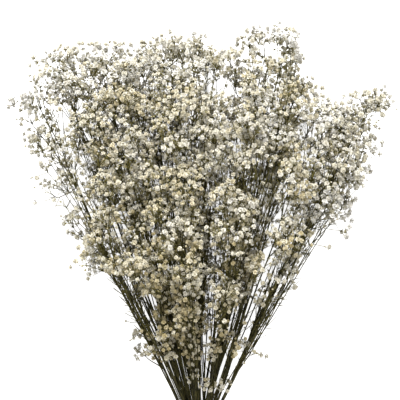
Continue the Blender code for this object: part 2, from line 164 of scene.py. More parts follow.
@dataclass
class BunchPlan:
    """The rules that place the stems, twigs and sprays, the same as in the solids."""

    # Each layer's name, lift and height at the tie, and its stems' leans
    layers: tuple = (
        ("low", 0.08, 4.2 * MM, (-0.37, -0.13, 0.11, 0.34)),
        ("mid", 0.25, 8.1 * MM, (-0.46, -0.26, -0.02, 0.21, 0.46)),
        ("top", 0.50, 12.0 * MM, (-0.32, -0.10, 0.13, 0.33)),
    )
    slot_pitch: float = 4.4 * MM
    fan_start: float = 6.0 * MM
    fan_ease: float = 14.0 * MM
    fan_height: float = 3.2 * MM
    fan_whole: float = 2.0

    stalk_below: float = 130.0 * MM
    stalk_radius: float = 1.85 * MM
    stalk_points: int = 9
    stalk_bend_power: float = 2.5
    cut_splay: float = 0.5
    cut_sink: float = 2.7 * MM

    twig_steps: int = 3
    twig_shortest: float = 14.0 * MM
    twig_first: float = 32.0 * MM
    twig_angle: float = math.radians(30.0)
    twig_angle_cost: float = 1.1
    twig_start_pull: float = 0.33
    twig_end_pull: float = 0.25
    twig_along_wood: float = 0.6

    ray_count: int = 5
    ray_length: tuple = (24.0 * MM, 36.0 * MM)
    ray_spread: tuple = (math.radians(26.0), math.radians(58.0))
    ray_tries: int = 60
    ray_turn_jitter: float = 0.5
    ray_turn_step: float = 0.05
    ray_shortening: float = 0.45
    spray_reach: float = 24.0 * MM
    spray_source: float = 0.7
    spray_jitter: float = 0.22
    head_spacing: float = 10.0 * MM
    head_seed: int = 500
    head_radius: float = 4.9 * MM
    lowest_head: float = 5.6 * MM
    cell_gap: float = 0.6 * MM
    rest_height: float = 1.6 * MM

    # Each spray's side, distance along and height in mm, and its size
    edge_sprays: tuple = (
        (-74, 122, 34, 0.45), (-119, 231, 60, 0.7), (-130, 274, 72, 0.9),
        (-166, 328, 70, 0.85), (-184, 374, 84, 0.85), (-203, 404, 70, 0.6),
        (-184, 426, 96, 0.9), (-168, 464, 86, 0.6), (-150, 454, 78, 0.9),
        (-113, 466, 90, 1.0), (-70, 468, 70, 1.0), (-38, 478, 96, 1.0),
        (-4, 478, 66, 1.0), (38, 468, 90, 1.0), (78, 490, 74, 1.0),
        (104, 484, 98, 0.8), (101, 440, 60, 1.0), (121, 418, 96, 1.0),
        (157, 396, 74, 1.0), (174, 404, 84, 0.6), (200, 418, 92, 0.9),
        (176, 366, 70, 1.0), (172, 338, 96, 1.0), (160, 302, 62, 1.0),
        (134, 284, 84, 0.7), (106, 233, 54, 0.6), (92, 200, 44, 0.4),
    )
    front_sprays: tuple = (
        (-43, 125, 58, 0.4), (-17, 128, 64, 0.42), (11, 130, 66, 0.42), (33, 136, 58, 0.4),
    )
    # The same without a size
    resting_sprays: tuple = (
        (-92, 292, 22), (-36, 382, 23), (34, 318, 22), (104, 352, 23),
    )

    fill_seed: int = 11
    fill_tries: int = 6000
    fill_spacing: float = 50.0 * MM
    fill_count: int = 58
    fill_first: float = 150.0 * MM
    fill_first_at_side: float = 95.0 * MM
    fill_last: float = 470.0 * MM
    fill_inset: float = 34.0 * MM
    fill_side_inset: float = 20.0 * MM
    bare_lean: float = 0.29
    bare_last: float = 262.0 * MM
    fan_side: float = 0.55
    rim_window: float = 0.06
    dome_height: float = 178.0 * MM
    dome_side: float = 0.66
    dome_full_at: float = 245.0 * MM
    dome_fall: float = 0.42
    dome_fall_power: float = 1.5
    belly_height: float = 16.0 * MM
    belly_side_rise: float = 52.0 * MM
    thinnest: float = 12.0 * MM
    rim_width: float = 55.0 * MM

    def make_stems(self) -> list[Stem]:
        """Place the stems in their layers at the tie.

        Returns:
            The stems, from the lowest layer's left to the top layer's right.
        """
        stems = []
        for layer, lift, height, leans in self.layers:
            for number, lean in enumerate(leans, start=1):
                column = number - (len(leans) + 1) / 2
                slot = Vector((column * self.slot_pitch, 0.0, height))
                stems.append(Stem(f"stem_{layer}_{number}", lean, lift, slot))
        return stems

    def axis_point(self, stem: Stem, along: float) -> Vector:
        """Find a point of a stem's natural line.

        Args:
            stem: The stem.
            along: The distance along the bunch from the tie.

        Returns:
            The point.
        """
        past = max(0.0, along - self.fan_start)
        flare = past * past / (past + self.fan_ease)
        below = max(0.0, -along - self.fan_start) / self.stalk_below
        side = stem.slot.x * (1.0 + self.cut_splay * below) + stem.lean * flare
        sink = self.cut_sink * below if stem.name.startswith("stem_low") else 0.0
        return Vector((side, along, stem.slot.z + stem.lift * flare - sink))

    def fan_place(self, point: Vector) -> tuple[float, float, float]:
        """Give a point's lean and lift as seen from the tie, and its distance.

        Args:
            point: The point.

        Returns:
            Lean, lift and distance.
        """
        past = max(point.y - self.fan_start, MM)
        return point.x / past, (point.z - self.fan_height) / past, past

    def nearest_stem(self, stems: list[Stem], point: Vector) -> Stem:
        """Find the stem whose part of the fan a point is in.

        Args:
            stems: All the stems.
            point: The point.

        Returns:
            That stem.
        """
        lean, lift, _ = self.fan_place(point)
        return min(stems, key=lambda stem: (lean - stem.lean) ** 2 + (lift - stem.lift) ** 2)

    def room_in_fan(self, stems: list[Stem], own: Stem, point: Vector) -> float:
        """Measure how far a point is from the nearest neighbour's part of the fan.

        Args:
            stems: All the stems.
            own: The stem that the point belongs to.
            point: The point.

        Returns:
            The distance, below zero in a neighbour's part.
        """
        lean, lift, past = self.fan_place(point)
        here = (lean - own.lean) ** 2 + (lift - own.lift) ** 2
        slant = math.sqrt(1.0 + lean * lean + lift * lift)
        room = self.fan_whole
        for other in stems:
            if other is own:
                continue
            there = (lean - other.lean) ** 2 + (lift - other.lift) ** 2
            apart = math.hypot(own.lean - other.lean, own.lift - other.lift)
            room = min(room, (there - here) / (2.0 * apart) * past / slant)
        return room

    def outline_reach(self, lean: float) -> float:
        """Give how far along the fan reaches at a lean, from the outermost sprays near it.

        Args:
            lean: The lean.

        Returns:
            The reach along the bunch, 0 past the outermost sprays.
        """
        near = [along for side, along, _, _ in self.edge_sprays
                if abs(side / along - lean) < self.rim_window]
        return max(near, default=0) * MM

    def belly(self, lean: float) -> float:
        """Give the height of the bunch's underside at a lean."""
        return self.belly_height + self.belly_side_rise * (lean / self.fan_side) ** 2

    def dome_top(self, lean: float, along: float) -> float:
        """Give the height of the bunch's upper side over a place in the fan.

        Args:
            lean: The place's lean.
            along: Its distance along.

        Returns:
            The height.
        """
        bulge = math.sqrt(max(0.0, 1.0 - (lean / self.dome_side) ** 2))
        rise = min(1.0, along / self.dome_full_at)
        past = max(0.0, along - self.dome_full_at) / (self.fill_last - self.dome_full_at)
        fall = 1.0 - self.dome_fall * past ** self.dome_fall_power
        return self.dome_height * bulge * rise * fall

    def depth_share(self, point: Vector) -> float:
        """Give how far up through the bunch a point is.

        Args:
            point: The point.

        Returns:
            0 at the underside, 1 at the upper side.
        """
        lean = point.x / max(point.y, MM)
        low = self.belly(lean)
        high = max(self.dome_top(lean, point.y), low + self.thinnest)
        return clamped((point.z - low) / (high - low))

    def rim_share(self, point: Vector) -> float:
        """Give how near the fan's rim a point is.

        Args:
            point: The point.

        Returns:
            0 well inside, 1 at the rim.
        """
        lean = point.x / max(point.y, MM)
        ahead = self.outline_reach(lean) - point.y
        aside = (self.fan_side - abs(lean)) * point.y
        return clamped(1.0 - min(ahead, aside) / self.rim_width)

    def outward(self, place: Vector) -> Vector:
        """Give the way out of the bunch at a place, away from its middle line.

        Args:
            place: The place.

        Returns:
            That way, short near the middle line and about 1 long at the outside.
        """
        lean = place.x / max(place.y, MM)
        return Vector((lean / self.fan_side, 0.0, 2.0 * self.depth_share(place) - 1.0))

    def place_sprays(self) -> list[Spray]:
        """Place the outermost, the front, the resting and the filling sprays.

        Returns:
            The sprays, in that order.
        """
        sprays = []
        for *place, size in self.edge_sprays + self.front_sprays:
            sprays.append(Spray(place_in_mm(*place), size, len(sprays)))
        for place in self.resting_sprays:
            sprays.append(Spray(place_in_mm(*place), 1.0, len(sprays), rests=True))
        draw = random.Random(self.fill_seed)
        wanted = len(sprays) + self.fill_count
        for _ in range(self.fill_tries):
            if len(sprays) == wanted:
                break
            lean = draw.uniform(-self.fan_side, self.fan_side)
            along = draw.uniform(self.fill_first, self.fill_last)
            share = draw.random()
            if along < self.fill_first + self.fill_first_at_side * (lean / self.fan_side) ** 2:
                continue
            if along > self.outline_reach(lean) - self.fill_inset:
                continue
            if (self.fan_side - abs(lean)) * along < self.fill_side_inset:
                continue
            if lean > self.bare_lean and along < self.bare_last:
                continue
            low = self.belly(lean)
            high = self.dome_top(lean, along)
            if high < low:
                continue
            centre = Vector((lean * along, along, low + (high - low) * share))
            if all((centre - other.centre).length > self.fill_spacing for other in sprays):
                sprays.append(Spray(centre, 1.0, len(sprays)))
        return sprays

    def aim_spray(self, stem: Stem, spray: Spray) -> None:
        """Set the direction that a spray grows in, and the place of its knob.

        Args:
            stem: The stem that bears it.
            spray: The spray.
        """
        draw = random.Random(spray.seed)
        source = self.axis_point(stem, self.spray_source * spray.centre.y)
        growth = (spray.centre - source).normalized()
        spray.growth = (growth + self.spray_jitter * jitter(draw, 1.0)).normalized()
        spray.knob = spray.centre - spray.growth * self.spray_reach * spray.size

    def grow_heads(self, stems: list[Stem], stem: Stem, spray: Spray) -> None:
        """Set where a spray's main rays end, inside its own stem's part of the fan.

        Args:
            stems: All the stems.
            stem: The stem that bears the spray.
            spray: The spray.
        """
        draw = random.Random(spray.seed + self.head_seed)
        side = spray.growth.cross(UP).normalized()
        up = side.cross(spray.growth)
        turn = draw.uniform(0.0, math.tau)
        margin = self.head_radius + self.cell_gap
        narrow, wide = self.ray_spread
        for number in range(self.ray_count):
            for attempt in range(self.ray_tries):
                spread = draw.uniform(0.0, narrow) if number == 0 else draw.uniform(narrow, wide)
                about = turn + math.tau * number / (self.ray_count - 1) + self.ray_turn_step * attempt
                about += draw.uniform(-self.ray_turn_jitter, self.ray_turn_jitter)
                length = draw.uniform(*self.ray_length) * spray.size
                length *= 1.0 - self.ray_shortening * attempt / self.ray_tries
                sideways = side * math.cos(about) + up * math.sin(about)
                heading = spray.growth * math.cos(spread) + sideways * math.sin(spread)
                head = spray.knob + heading * length
                if number == 0 and spray.rests:
                    head.z = self.rest_height
                apart = all((head - other).length > self.head_spacing for other in spray.heads)
                inside = self.room_in_fan(stems, stem, head) > margin
                above = head.z > self.lowest_head or (number == 0 and spray.rests)
                if apart and inside and above:
                    spray.heads.append(head)
                    break

    def lay_stalk(self, stem: Stem) -> Spray:
        """Set a stalk's points, from its cut end to its last knob.

        Args:
            stem: The stem.

        Returns:
            The spray that the stalk ends in.
        """
        crown = max(stem.sprays, key=lambda spray: spray.knob.y)
        top = crown.knob.y
        bend = crown.knob - self.axis_point(stem, top)
        places = [-self.stalk_below, -self.stalk_below / 2.0, -self.fan_start, self.fan_start]
        for step in range(1, self.stalk_points + 1):
            places.append(self.fan_start + (top - self.fan_start) * step / self.stalk_points)
        for along in places:
            share = max(0.0, (along - self.fan_start) / (top - self.fan_start))
            stem.stalk.append(self.axis_point(stem, along) + bend * share ** self.stalk_bend_power)
        return crown

    def best_join(self, lines: list[list[Vector]], knob: Vector) -> tuple[Vector, Vector]:
        """Find where a twig for a knob leaves the wood that is there.

        Args:
            lines: The wood so far, as lines of points.
            knob: Where the twig has to end.

        Returns:
            The joining point, and the wood's heading there.
        """
        best: Optional[tuple[float, Vector, Vector]] = None
        for points in lines:
            for before, here in zip(points, points[1:]):
                way = knob - here
                if here.y < self.twig_first or way.length < self.twig_shortest:
                    continue
                run = (here - before).normalized()
                angle = run.angle(way)
                cost = way.length * (1.0 + self.twig_angle_cost * abs(angle - self.twig_angle))
                if best is None or cost < best[0]:
                    best = (cost, here, run)
        return best[1], best[2]

    def twig_curve(self, start: Vector, run: Vector, spray: Spray) -> tuple[Vector, ...]:
        """Give the four points that steer a twig's curve.

        Args:
            start: Where it leaves the wood.
            run: The wood's heading there.
            spray: The spray that it ends in.

        Returns:
            The curve's start, its two pulls and its end.
        """
        reach = (spray.knob - start).length
        out = ((spray.knob - start).normalized() + self.twig_along_wood * run).normalized()
        start_pull = start + out * reach * self.twig_start_pull
        end_pull = spray.knob - spray.growth * reach * self.twig_end_pull
        return start, start_pull, end_pull, spray.knob

    def grow(self, finer: int) -> list[Stem]:
        """Grow every stem, with its sprays, its stalk and its twigs.

        Args:
            finer: How many points the finished twigs get for each of the solids' steps.

        Returns:
            The stems.
        """
        stems = self.make_stems()
        for spray in self.place_sprays():
            stem = self.nearest_stem(stems, spray.centre)
            self.aim_spray(stem, spray)
            self.grow_heads(stems, stem, spray)
            stem.sprays.append(spray)
        for stem in stems:
            crown = self.lay_stalk(stem)
            lines = [stem.stalk]
            for spray in sorted(stem.sprays, key=lambda item: item.knob.y):
                if spray is crown:
                    continue
                start, run = self.best_join(lines, spray.knob)
                steer = self.twig_curve(start, run, spray)
                lines.append(bezier_line(steer, self.twig_steps))
                stem.twigs.append(bezier_line(steer, self.twig_steps * finer))
        return stems


def bezier_line(steer: tuple[Vector, ...], steps: int) -> list[Vector]:
    """Read points off a cubic curve.

    Args:
        steer: The curve's start, its two pulls and its end.
        steps: The number of steps between the points.

    Returns:
        The points, both ends included.
    """
    start, start_pull, end_pull, end = steer
    line = []
    for step in range(steps + 1):
        share = step / steps
        rest = 1.0 - share
        line.append(start * rest ** 3 + start_pull * 3.0 * rest ** 2 * share
                    + end_pull * 3.0 * rest * share ** 2 + end * share ** 3)
    return line


def smooth_line(points: list[Vector], steps: int) -> list[Vector]:
    """Run a smooth line through points.

    Args:
        points: The points to pass through.
        steps: The number of steps from each point to the next.

    Returns:
        The finer points.
    """
    fine = []
    last = len(points) - 1
    for index in range(last):
        before = points[max(index - 1, 0)]
        here = points[index]
        there = points[index + 1]
        after = points[min(index + 2, last)]
        for step in range(steps):
            share = step / steps
            square = share * share
            cube = square * share
            fine.append(0.5 * (2.0 * here + (there - before) * share
                               + (2.0 * before - 5.0 * here + 4.0 * there - after) * square
                               + (3.0 * here - before - 3.0 * there + after) * cube))
    fine.append(points[last].copy())
    return fine


def across(heading: Vector) -> tuple[Vector, Vector]:
    """Give two directions square to a heading and to each other.

    Args:
        heading: The heading.

    Returns:
        The two directions.
    """
    guide = UP if abs(heading.z) < UPRIGHT else Vector((1.0, 0.0, 0.0))
    side = heading.cross(guide).normalized()
    return side, side.cross(heading)


def fanned(heading: Vector, spread: float, about: float) -> Vector:
    """Turn a heading away from itself.

    Args:
        heading: The heading.
        spread: The angle away from it.
        about: The angle round it.

    Returns:
        The turned heading.
    """
    side, up = across(heading)
    sideways = side * math.cos(about) + up * math.sin(about)
    return heading * math.cos(spread) + sideways * math.sin(spread)


def jitter(draw: random.Random, size: float) -> Vector:
    """Draw a way in a cube of this half width."""
    return Vector([draw.uniform(-size, size) for _ in range(3)])


def aside(draw: random.Random, heading: Vector) -> Vector:
    """Draw a way square to a heading, up to about 1 long."""
    side, up = across(heading)
    return side * draw.uniform(-1.0, 1.0) + up * draw.uniform(-1.0, 1.0)


def leaving(draw: random.Random, heading: Vector, spread: tuple[float, float]) -> Vector:
    """Draw a heading that leaves another at an angle between two limits."""
    return fanned(heading, draw.uniform(*spread), draw.uniform(0.0, math.tau))


@dataclass
class Sway:
    """Bends each stem with all that it bears out of its straight line, as dry stems are."""

    reach: float = 3.0 * MM
    start: float = 20.0 * MM
    full_after: float = 80.0 * MM
    long_wave: float = 210.0 * MM
    short_wave: float = 88.0 * MM
    long_share: float = 0.7
    short_share: float = 0.3
    rise_share: float = 0.5
    seed: int = 4100

    def apply(self, stems: list[Stem]) -> None:
        """Move the points of every stem.

        Args:
            stems: All the stems.
        """
        draw = random.Random(self.seed)
        for stem in stems:
            phases = [draw.uniform(0.0, math.tau) for _ in range(4)]
            points = list(stem.stalk)
            for twig in stem.twigs:
                points += twig
            for spray in stem.sprays:
                points += [spray.knob] + spray.heads
            for point in points:
                point += self.offset(point.y, phases)

    def offset(self, along: float, phases: list[float]) -> Vector:
        """Give how far the sway moves a point.

        Args:
            along: The point's distance along.
            phases: The stem's four phases.

        Returns:
            The offset.
        """
        size = self.reach * clamped((along - self.start) / self.full_after)
        long_turn = math.tau * along / self.long_wave
        short_turn = math.tau * along / self.short_wave
        shift, rise = (self.long_share * math.sin(long_turn + long_phase)
                       + self.short_share * math.sin(short_turn + short_phase)
                       for long_phase, short_phase in (phases[:2], phases[2:]))
        return Vector((shift * size, 0.0, rise * size * self.rise_share))


@dataclass(frozen=True)
class View:
    """What the camera over the bunch takes in."""

    middle_along: float = 302.5 * MM
    middle_height: float = 80.0 * MM
    camera_height: float = 0.93
    frame_width: float = 0.46

    def seen(self, place: Vector) -> tuple[float, float]:
        """Give where the camera sees a place, at the picture's middle height.

        Args:
            place: The place.

        Returns:
            Its side and its distance along.
        """
        scale = (self.camera_height - self.middle_height) / (self.camera_height - place.z)
        return place.x * scale, self.middle_along + (place.y - self.middle_along) * scale


@dataclass(frozen=True)
class AirySpot:
    """A round place, in mm, where fewer florets grow.

    A share is kept, and where that is 0 no twig crosses the spot either. The spot may reach
    down through only some of the bunch, to the share of its depth given as above.
    """

    side: float
    along: float
    radius: float
    keep: float
    above: float = 0.0

    def covers(self, side: float, along: float) -> bool:
        """Say whether a place that the camera sees is in the spot."""
        return math.hypot(side - self.side * MM, along - self.along * MM) < self.radius * MM


@dataclass
class Airiness:
    """Leaves florets out where the fan is airy, bare or open right through."""

    view: View
    plan: BunchPlan
    rows: tuple = (
        # The thin left side
        (-172, 385, 38, 0.65), (-166, 318, 36, 0.5), (-148, 300, 22, 0.6), (-146, 266, 16, 0.35),
        (-169, 462, 6, 0.1), (-140, 448, 6, 0.1), (-140, 412, 7, 0.1), (-156, 402, 7, 0.1),
        (-123, 393, 5, 0.1), (-182, 404, 5, 0.1), (-130, 381, 5, 0.1),
        # The bare stems low on the left
        (-100, 194, 24, 0.05), (-76, 172, 22, 0.1), (-80, 187, 12, 0.3), (-57, 159, 10, 0.3),
        (-92, 176, 8, 0.0), (-55, 186, 7, 0.0), (-52, 155, 6, 0.0),
        # The bare stems low on the right
        (52, 164, 20, 0.15), (84, 206, 20, 0.4), (86, 287, 9, 0.1), (88, 170, 17, 0.08),
        (68, 146, 14, 0.1), (46, 112, 12, 0.1), (37, 163, 5, 0.0), (61, 176, 6, 0.0),
        (57, 157, 5, 0.0), (66, 204, 6, 0.0), (90, 201, 6, 0.0), (74, 228, 6, 0.0),
        (80, 241, 6, 0.0), (92, 228, 4, 0.0), (37, 111, 4, 0.0),
        # The right edge above them, and the top right corner
        (132, 251, 12, 0.1), (140, 266, 14, 0.15), (122, 224, 11, 0.1), (129, 231, 8, 0.0),
        (118, 210, 7, 0.0), (104, 187, 7, 0.0), (88, 162, 6, 0.0), (71, 136, 5, 0.0),
        (103, 197, 10, 0.1), (124, 481, 14, 0.15), (126, 452, 14, 0.1), (80, 474, 10, 0.3),
        (52, 476, 8, 0.4),
        # The gap near the tie, and the dark stems beside it
        (6, 142, 6, 0.0), (16, 149, 6, 0.0), (7, 130, 4, 0.0), (9, 110, 4, 0.0), (10, 101, 4, 0.0),
        (28, 165, 20, 0.35),
        # Small windows further up
        (-33, 282, 6, 0.1), (-66, 262, 5, 0.1), (-55, 323, 5, 0.1), (-129, 348, 6, 0.1),
        (-29, 461, 5, 0.1), (17, 436, 14, 0.12), (34, 430, 9, 0.3),
        # The dark hollow beside the fullest sprays
        (70, 325, 24, 0.25, 0.4), (-18, 232, 22, 0.55, 0.4), (30, 240, 18, 0.6, 0.4),
    )

    def __post_init__(self) -> None:
        """Make the spots from their rows."""
        self.spots = [AirySpot(*row) for row in self.rows]
        self.bare_spots = [spot for spot in self.spots if spot.keep == 0.0]

    def lets_pass(self, line: list[Vector]) -> bool:
        """Say whether a twig keeps clear of the bare spots.

        Args:
            line: The twig's points.

        Returns:
            False if the camera sees it cross one.
        """
        seen = [self.view.seen(place) for place in line]
        return not any(spot.covers(*place) for place in seen for spot in self.bare_spots)

    def keeps(self, draw: random.Random, place: Vector) -> bool:
        """Say whether a floret may grow at a place.

        Args:
            draw: The stem's random draw.
            place: The place.

        Returns:
            False where an airy spot leaves it out.
        """
        seen = self.view.seen(place)
        for spot in self.spots:
            if spot.covers(*seen) and self.plan.depth_share(place) >= spot.above:
                if draw.random() > spot.keep:
                    return False
        return True


@dataclass
class FineSprays:
    """Places the small sprays that fill the fan between the solids' own."""

    plan: BunchPlan
    airiness: Airiness
    seed: int = 2300
    spray_seed: int = 1000
    tries: int = 30000
    count: int = 452
    spacing: float = 21.0 * MM
    close_spacing: float = 15.5 * MM
    # Each spot's side, distance along and radius in mm, as the camera sees it
    close_spots: tuple = (
        (-121, 440, 45), (-29, 472, 34), (172, 385, 44), (160, 322, 30), (-38, 215, 30),
        (-30, 160, 24), (34, 368, 36), (-110, 222, 18),
    )
    # Each spray's side, distance along and height in mm, and its size
    extra_sprays: tuple = (
        (-158, 474, 88, 0.6), (-134, 478, 86, 0.6), (-110, 480, 84, 0.6), (-92, 478, 80, 0.55),
        (-10, 474, 84, 0.7), (8, 472, 86, 0.7), (18, 462, 80, 0.6), (36, 452, 84, 0.6),
        (56, 450, 86, 0.6),
        (57, 490, 84, 0.55), (72, 494, 86, 0.6), (88, 494, 88, 0.6), (104, 490, 88, 0.55),
        (154, 404, 90, 0.7), (170, 408, 88, 0.7), (188, 402, 92, 0.7), (206, 422, 94, 0.6),
        (-172, 364, 84, 0.6), (-168, 344, 80, 0.6),
        (-1, 98, 54, 0.3), (13, 104, 58, 0.34), (8, 84, 50, 0.28), (27, 86, 48, 0.3),
    )
    from_own: float = 18.0 * MM
    size: tuple = (0.5, 0.78)
    side: float = 0.58
    furthest_side: float = 200.0 * MM
    first: float = 92.0 * MM
    first_at_side: float = 80.0 * MM
    thin_until: float = 165.0 * MM
    last: float = 490.0 * MM
    overhang: float = 7.0 * MM
    outward: float = 3.0
    towards_front: float = 0.75

    def place(self, stems: list[Stem]) -> None:
        """Place the small sprays, each on the stem whose part of the fan it is in.

        Args:
            stems: All the stems.
        """
        plan = self.plan
        draw = random.Random(self.seed)
        own = [spray.centre for stem in stems for spray in stem.sprays]
        placed = []
        for _ in range(self.tries):
            if len(placed) == self.count:
                break
            lean = draw.uniform(-self.side, self.side)
            power = self.outward
            along = draw.uniform(self.first ** power, self.last ** power) ** (1.0 / power)
            share = draw.random() ** self.towards_front
            begin = self.first + self.first_at_side * (lean / plan.fan_side) ** 2
            if along < begin or along > plan.outline_reach(lean) + self.overhang:
                continue
            if abs(lean) * along > self.furthest_side:
                continue
            if draw.random() > (along - begin) / (self.thin_until - self.first):
                continue
            low = plan.belly(lean)
            high = max(plan.dome_top(lean, along), low + plan.thinnest)
            centre = Vector((lean * along, along, low + (high - low) * share))
            if not self.airiness.keeps(draw, centre):
                continue
            if any((centre - other).length < self.from_own for other in own):
                continue
            spacing = self.spacing_at(centre)
            if any((centre - other).length < spacing for other in placed):
                continue
            self.add(stems, placed, centre, draw.uniform(*self.size))
        for *centre, size in self.extra_sprays:
            self.add(stems, placed, place_in_mm(*centre), size)
        LOG.info("%d small sprays", len(placed))

    def add(self, stems: list[Stem], placed: list[Vector], centre: Vector, size: float) -> None:
        """Add a small spray to the stem whose part of the fan it is in.

        Args:
            stems: All the stems.
            placed: The middles of the small sprays so far.
            centre: Its middle.
            size: Its size.
        """
        placed.append(centre)
        spray = Spray(centre, size, self.spray_seed + len(placed), fine=True)
        stem = self.plan.nearest_stem(stems, centre)
        self.plan.aim_spray(stem, spray)
        stem.fine_sprays.append(spray)

    def spacing_at(self, centre: Vector) -> float:
        """Give how far apart the small sprays stand at a place.

        Args:
            centre: The place.

        Returns:
            The spacing, closer in the fan's fullest spots.
        """
        seen_side, seen_along = self.airiness.view.seen(centre)
        for side, along, radius in self.close_spots:
            if math.hypot(seen_side - side * MM, seen_along - along * MM) < radius * MM:
                return self.close_spacing
        return self.spacing


@dataclass
class Crowd:
    """Keeps florets from growing into each other, by the cells of a coarse grid."""

    cell: float = 7.0 * MM
    overlap: float = 0.82
    taken: dict = field(default_factory=dict)

    def cell_of(self, place: Vector) -> tuple[int, int, int]:
        """Give the cell that a place is in."""
        return tuple(math.floor(value / self.cell) for value in place)

    def is_free(self, place: Vector, radius: float) -> bool:
        """Say whether a floret of this radius fits here.

        Args:
            place: Its middle.
            radius: Its radius.

        Returns:
            True if it touches no other by more than petals brush each other.
        """
        x, y, z = self.cell_of(place)
        for dx, dy, dz in itertools.product((-1, 0, 1), repeat=3):
            for other, size in self.taken.get((x + dx, y + dy, z + dz), ()):
                if (other - place).length < (radius + size) * self.overlap:
                    return False
        return True

    def take(self, place: Vector, radius: float) -> None:
        """Keep this place for a floret."""
        self.taken.setdefault(self.cell_of(place), []).append((place, radius))


@dataclass
class FineGrowth:
    """Adds to a planned stem what the solids leave out: fine rays, pedicels and florets."""

    stems: list[Stem]
    plan: BunchPlan
    crowd: Crowd
    airiness: Airiness
    seed: int = 9000

    # A spray's rays
    extra_rays: int = 4
    fine_rays: tuple = (3, 5)
    ray_tries: int = 40
    ray_share: tuple = (0.6, 1.0)
    ray_spread: tuple = (math.radians(6.0), math.radians(68.0))
    ray_spacing: float = 9.5 * MM
    ray_margin: float = 3.0 * MM

    # The clusters of florets at their ends
    scale_least: float = 0.6
    scale_gain: float = 0.4
    cluster_count: int = 6
    fine_cluster_count: int = 4
    cluster_least: int = 2
    cluster_jitter: float = 1.5
    cluster_tries: int = 16
    cluster_back: float = 8.0 * MM
    cluster_back_share: float = 0.6
    cluster_reach: tuple = (5.0 * MM, 13.0 * MM)
    cluster_spread: float = math.radians(72.0)
    central_share: float = 0.15
    outer_share: tuple = (0.2, 1.0)

    # The side shoots with florets
    lateral_pitch: float = 21.0 * MM
    lateral_start: tuple = (0.3, 1.0)
    lateral_jitter: float = 0.3
    lateral_scale: float = 0.75
    lateral_first: float = 112.0 * MM
    lateral_length: tuple = (8.0 * MM, 20.0 * MM)
    lateral_spread: tuple = (math.radians(28.0), math.radians(62.0))
    lateral_count: tuple = (2, 5)

    # The stalk, and the twigs of the small sprays
    stalk_steps: int = 5
    stalk_radius: float = 1.8 * MM
    stalk_tip_radius: float = 0.55 * MM
    stalk_taper: float = 0.75
    knob_swell: float = 1.8
    spray_swell: float = 2.0
    twig_radius: float = 0.8 * MM
    twig_tip_radius: float = 0.45 * MM
    fine_radius: float = 0.6 * MM
    fine_tip_radius: float = 0.38 * MM
    low_radius: float = 0.75 * MM
    basal_radius: float = 0.95 * MM
    fine_steps: int = 8
    fine_angle: tuple = (math.radians(8.0), math.radians(32.0))
    join_tries: int = 14
    join_cost: float = 0.35
    join_angle_cost: float = 2.2
    test_steps: int = 24
    twig_bend: float = 0.06
    arch_share: float = 0.4
    arch_from: float = 0.72
    arch_rise: float = 0.11
    fine_shortest: float = 11.0 * MM
    fine_first: float = 12.0 * MM
    basal_share: float = 0.2
    basal_at_side: float = 0.25
    side_lean: float = 0.46
    basal_last: float = 42.0 * MM
    low_share: float = 0.5
    low_last: float = 120.0 * MM

    # The finest wood
    ray_radius: float = 0.44 * MM
    ray_tip_radius: float = 0.36 * MM
    pedicel_radius: float = 0.3 * MM
    pedicel_taper: float = 0.85
    pedicel_end: float = 0.6
    ray_bow: float = 0.06
    ray_steps: int = 3

    # Each kind, the random pick that it reaches up to, and its radius
    kinds: tuple = (
        (FloretKind.OPEN, 0.28, 2.8 * MM), (FloretKind.RUFFLED, 0.7, 2.85 * MM),
        (FloretKind.HALF, 0.87, 2.2 * MM), (FloretKind.BUD, 1.0, 1.4 * MM),
    )
    size_jitter: float = 0.16
    size_behind: float = 0.94
    size_at_rim: float = 1.28
    size_near_tie: float = 0.9
    kept_at_rim: float = 0.6
    facing_out: float = 0.45
    facing_front: float = 0.5
    facing_jitter: float = 0.35
    fine_above: float = 0.76
    fine_near_tie: float = 0.3
    near_tie: float = 190.0 * MM
    tone_of_spray: tuple = (0.25, 0.85)
    tone_jitter: float = 0.2
    # Painted light: florets are made lighter towards the fan's rim
    painted_light_at_rim: float = 0.3
    # Painted shade: florets are made darker and browner towards the tie, over the span below
    painted_shade_near_tie: float = -0.36
    tie_shade: tuple = (150.0 * MM, 330.0 * MM)
    floor_gap: float = 0.35 * MM

    # The shoots that have lost their florets, and the broken stubs
    shoot_pitch: float = 24.0 * MM
    shoot_start: tuple = (0.0, 1.0)
    shoot_length: tuple = (9.0 * MM, 26.0 * MM)
    shoot_spread: tuple = (math.radians(20.0), math.radians(50.0))
    stub_reach: tuple = (18.0 * MM, 190.0 * MM)
    stub_length: tuple = (2.5 * MM, 10.0 * MM)
    stub_spread: tuple = (0.4, 0.8)
    stub_radius: float = 0.55 * MM
    stub_taper: float = 0.7
    stub_swell: float = 1.7
    stub_count: int = 9

    def grow(self, stem: Stem) -> tuple[list[Tube], list[Floret], list[tuple]]:
        """Grow one stem's wood and florets.

        Args:
            stem: The stem.

        Returns:
            Its tubes, its florets, and its knobs as place, heading and radius.
        """
        self.stem = stem
        self.draw = random.Random(self.seed + self.stems.index(stem))
        self.tubes: list[Tube] = []
        self.florets: list[Floret] = []
        self.knobs: list[tuple] = []
        stalk = self.grow_stalk()
        lines = [stalk]
        for twig in stem.twigs:
            self.add_twig(twig, self.twig_radius, self.twig_tip_radius)
            lines.append(twig)
        grown = list(stem.sprays)
        for spray in sorted(stem.fine_sprays, key=lambda item: item.knob.y):
            twig = self.grow_fine_twig(lines, spray)
            if twig:
                lines.append(twig)
                grown.append(spray)
        for spray in grown:
            self.grow_spray(spray)
        for line in lines:
            self.grow_laterals(line)
        self.grow_stubs(stalk)
        for line in lines:
            self.grow_shoots(line)
        return self.tubes, self.florets, self.knobs

    def has_room(self, end: Vector) -> bool:
        """Say whether a ray may end here: off the floor, and clear of the next stem's part."""
        if end.z < self.plan.lowest_head:
            return False
        return self.plan.room_in_fan(self.stems, self.stem, end) >= self.ray_margin

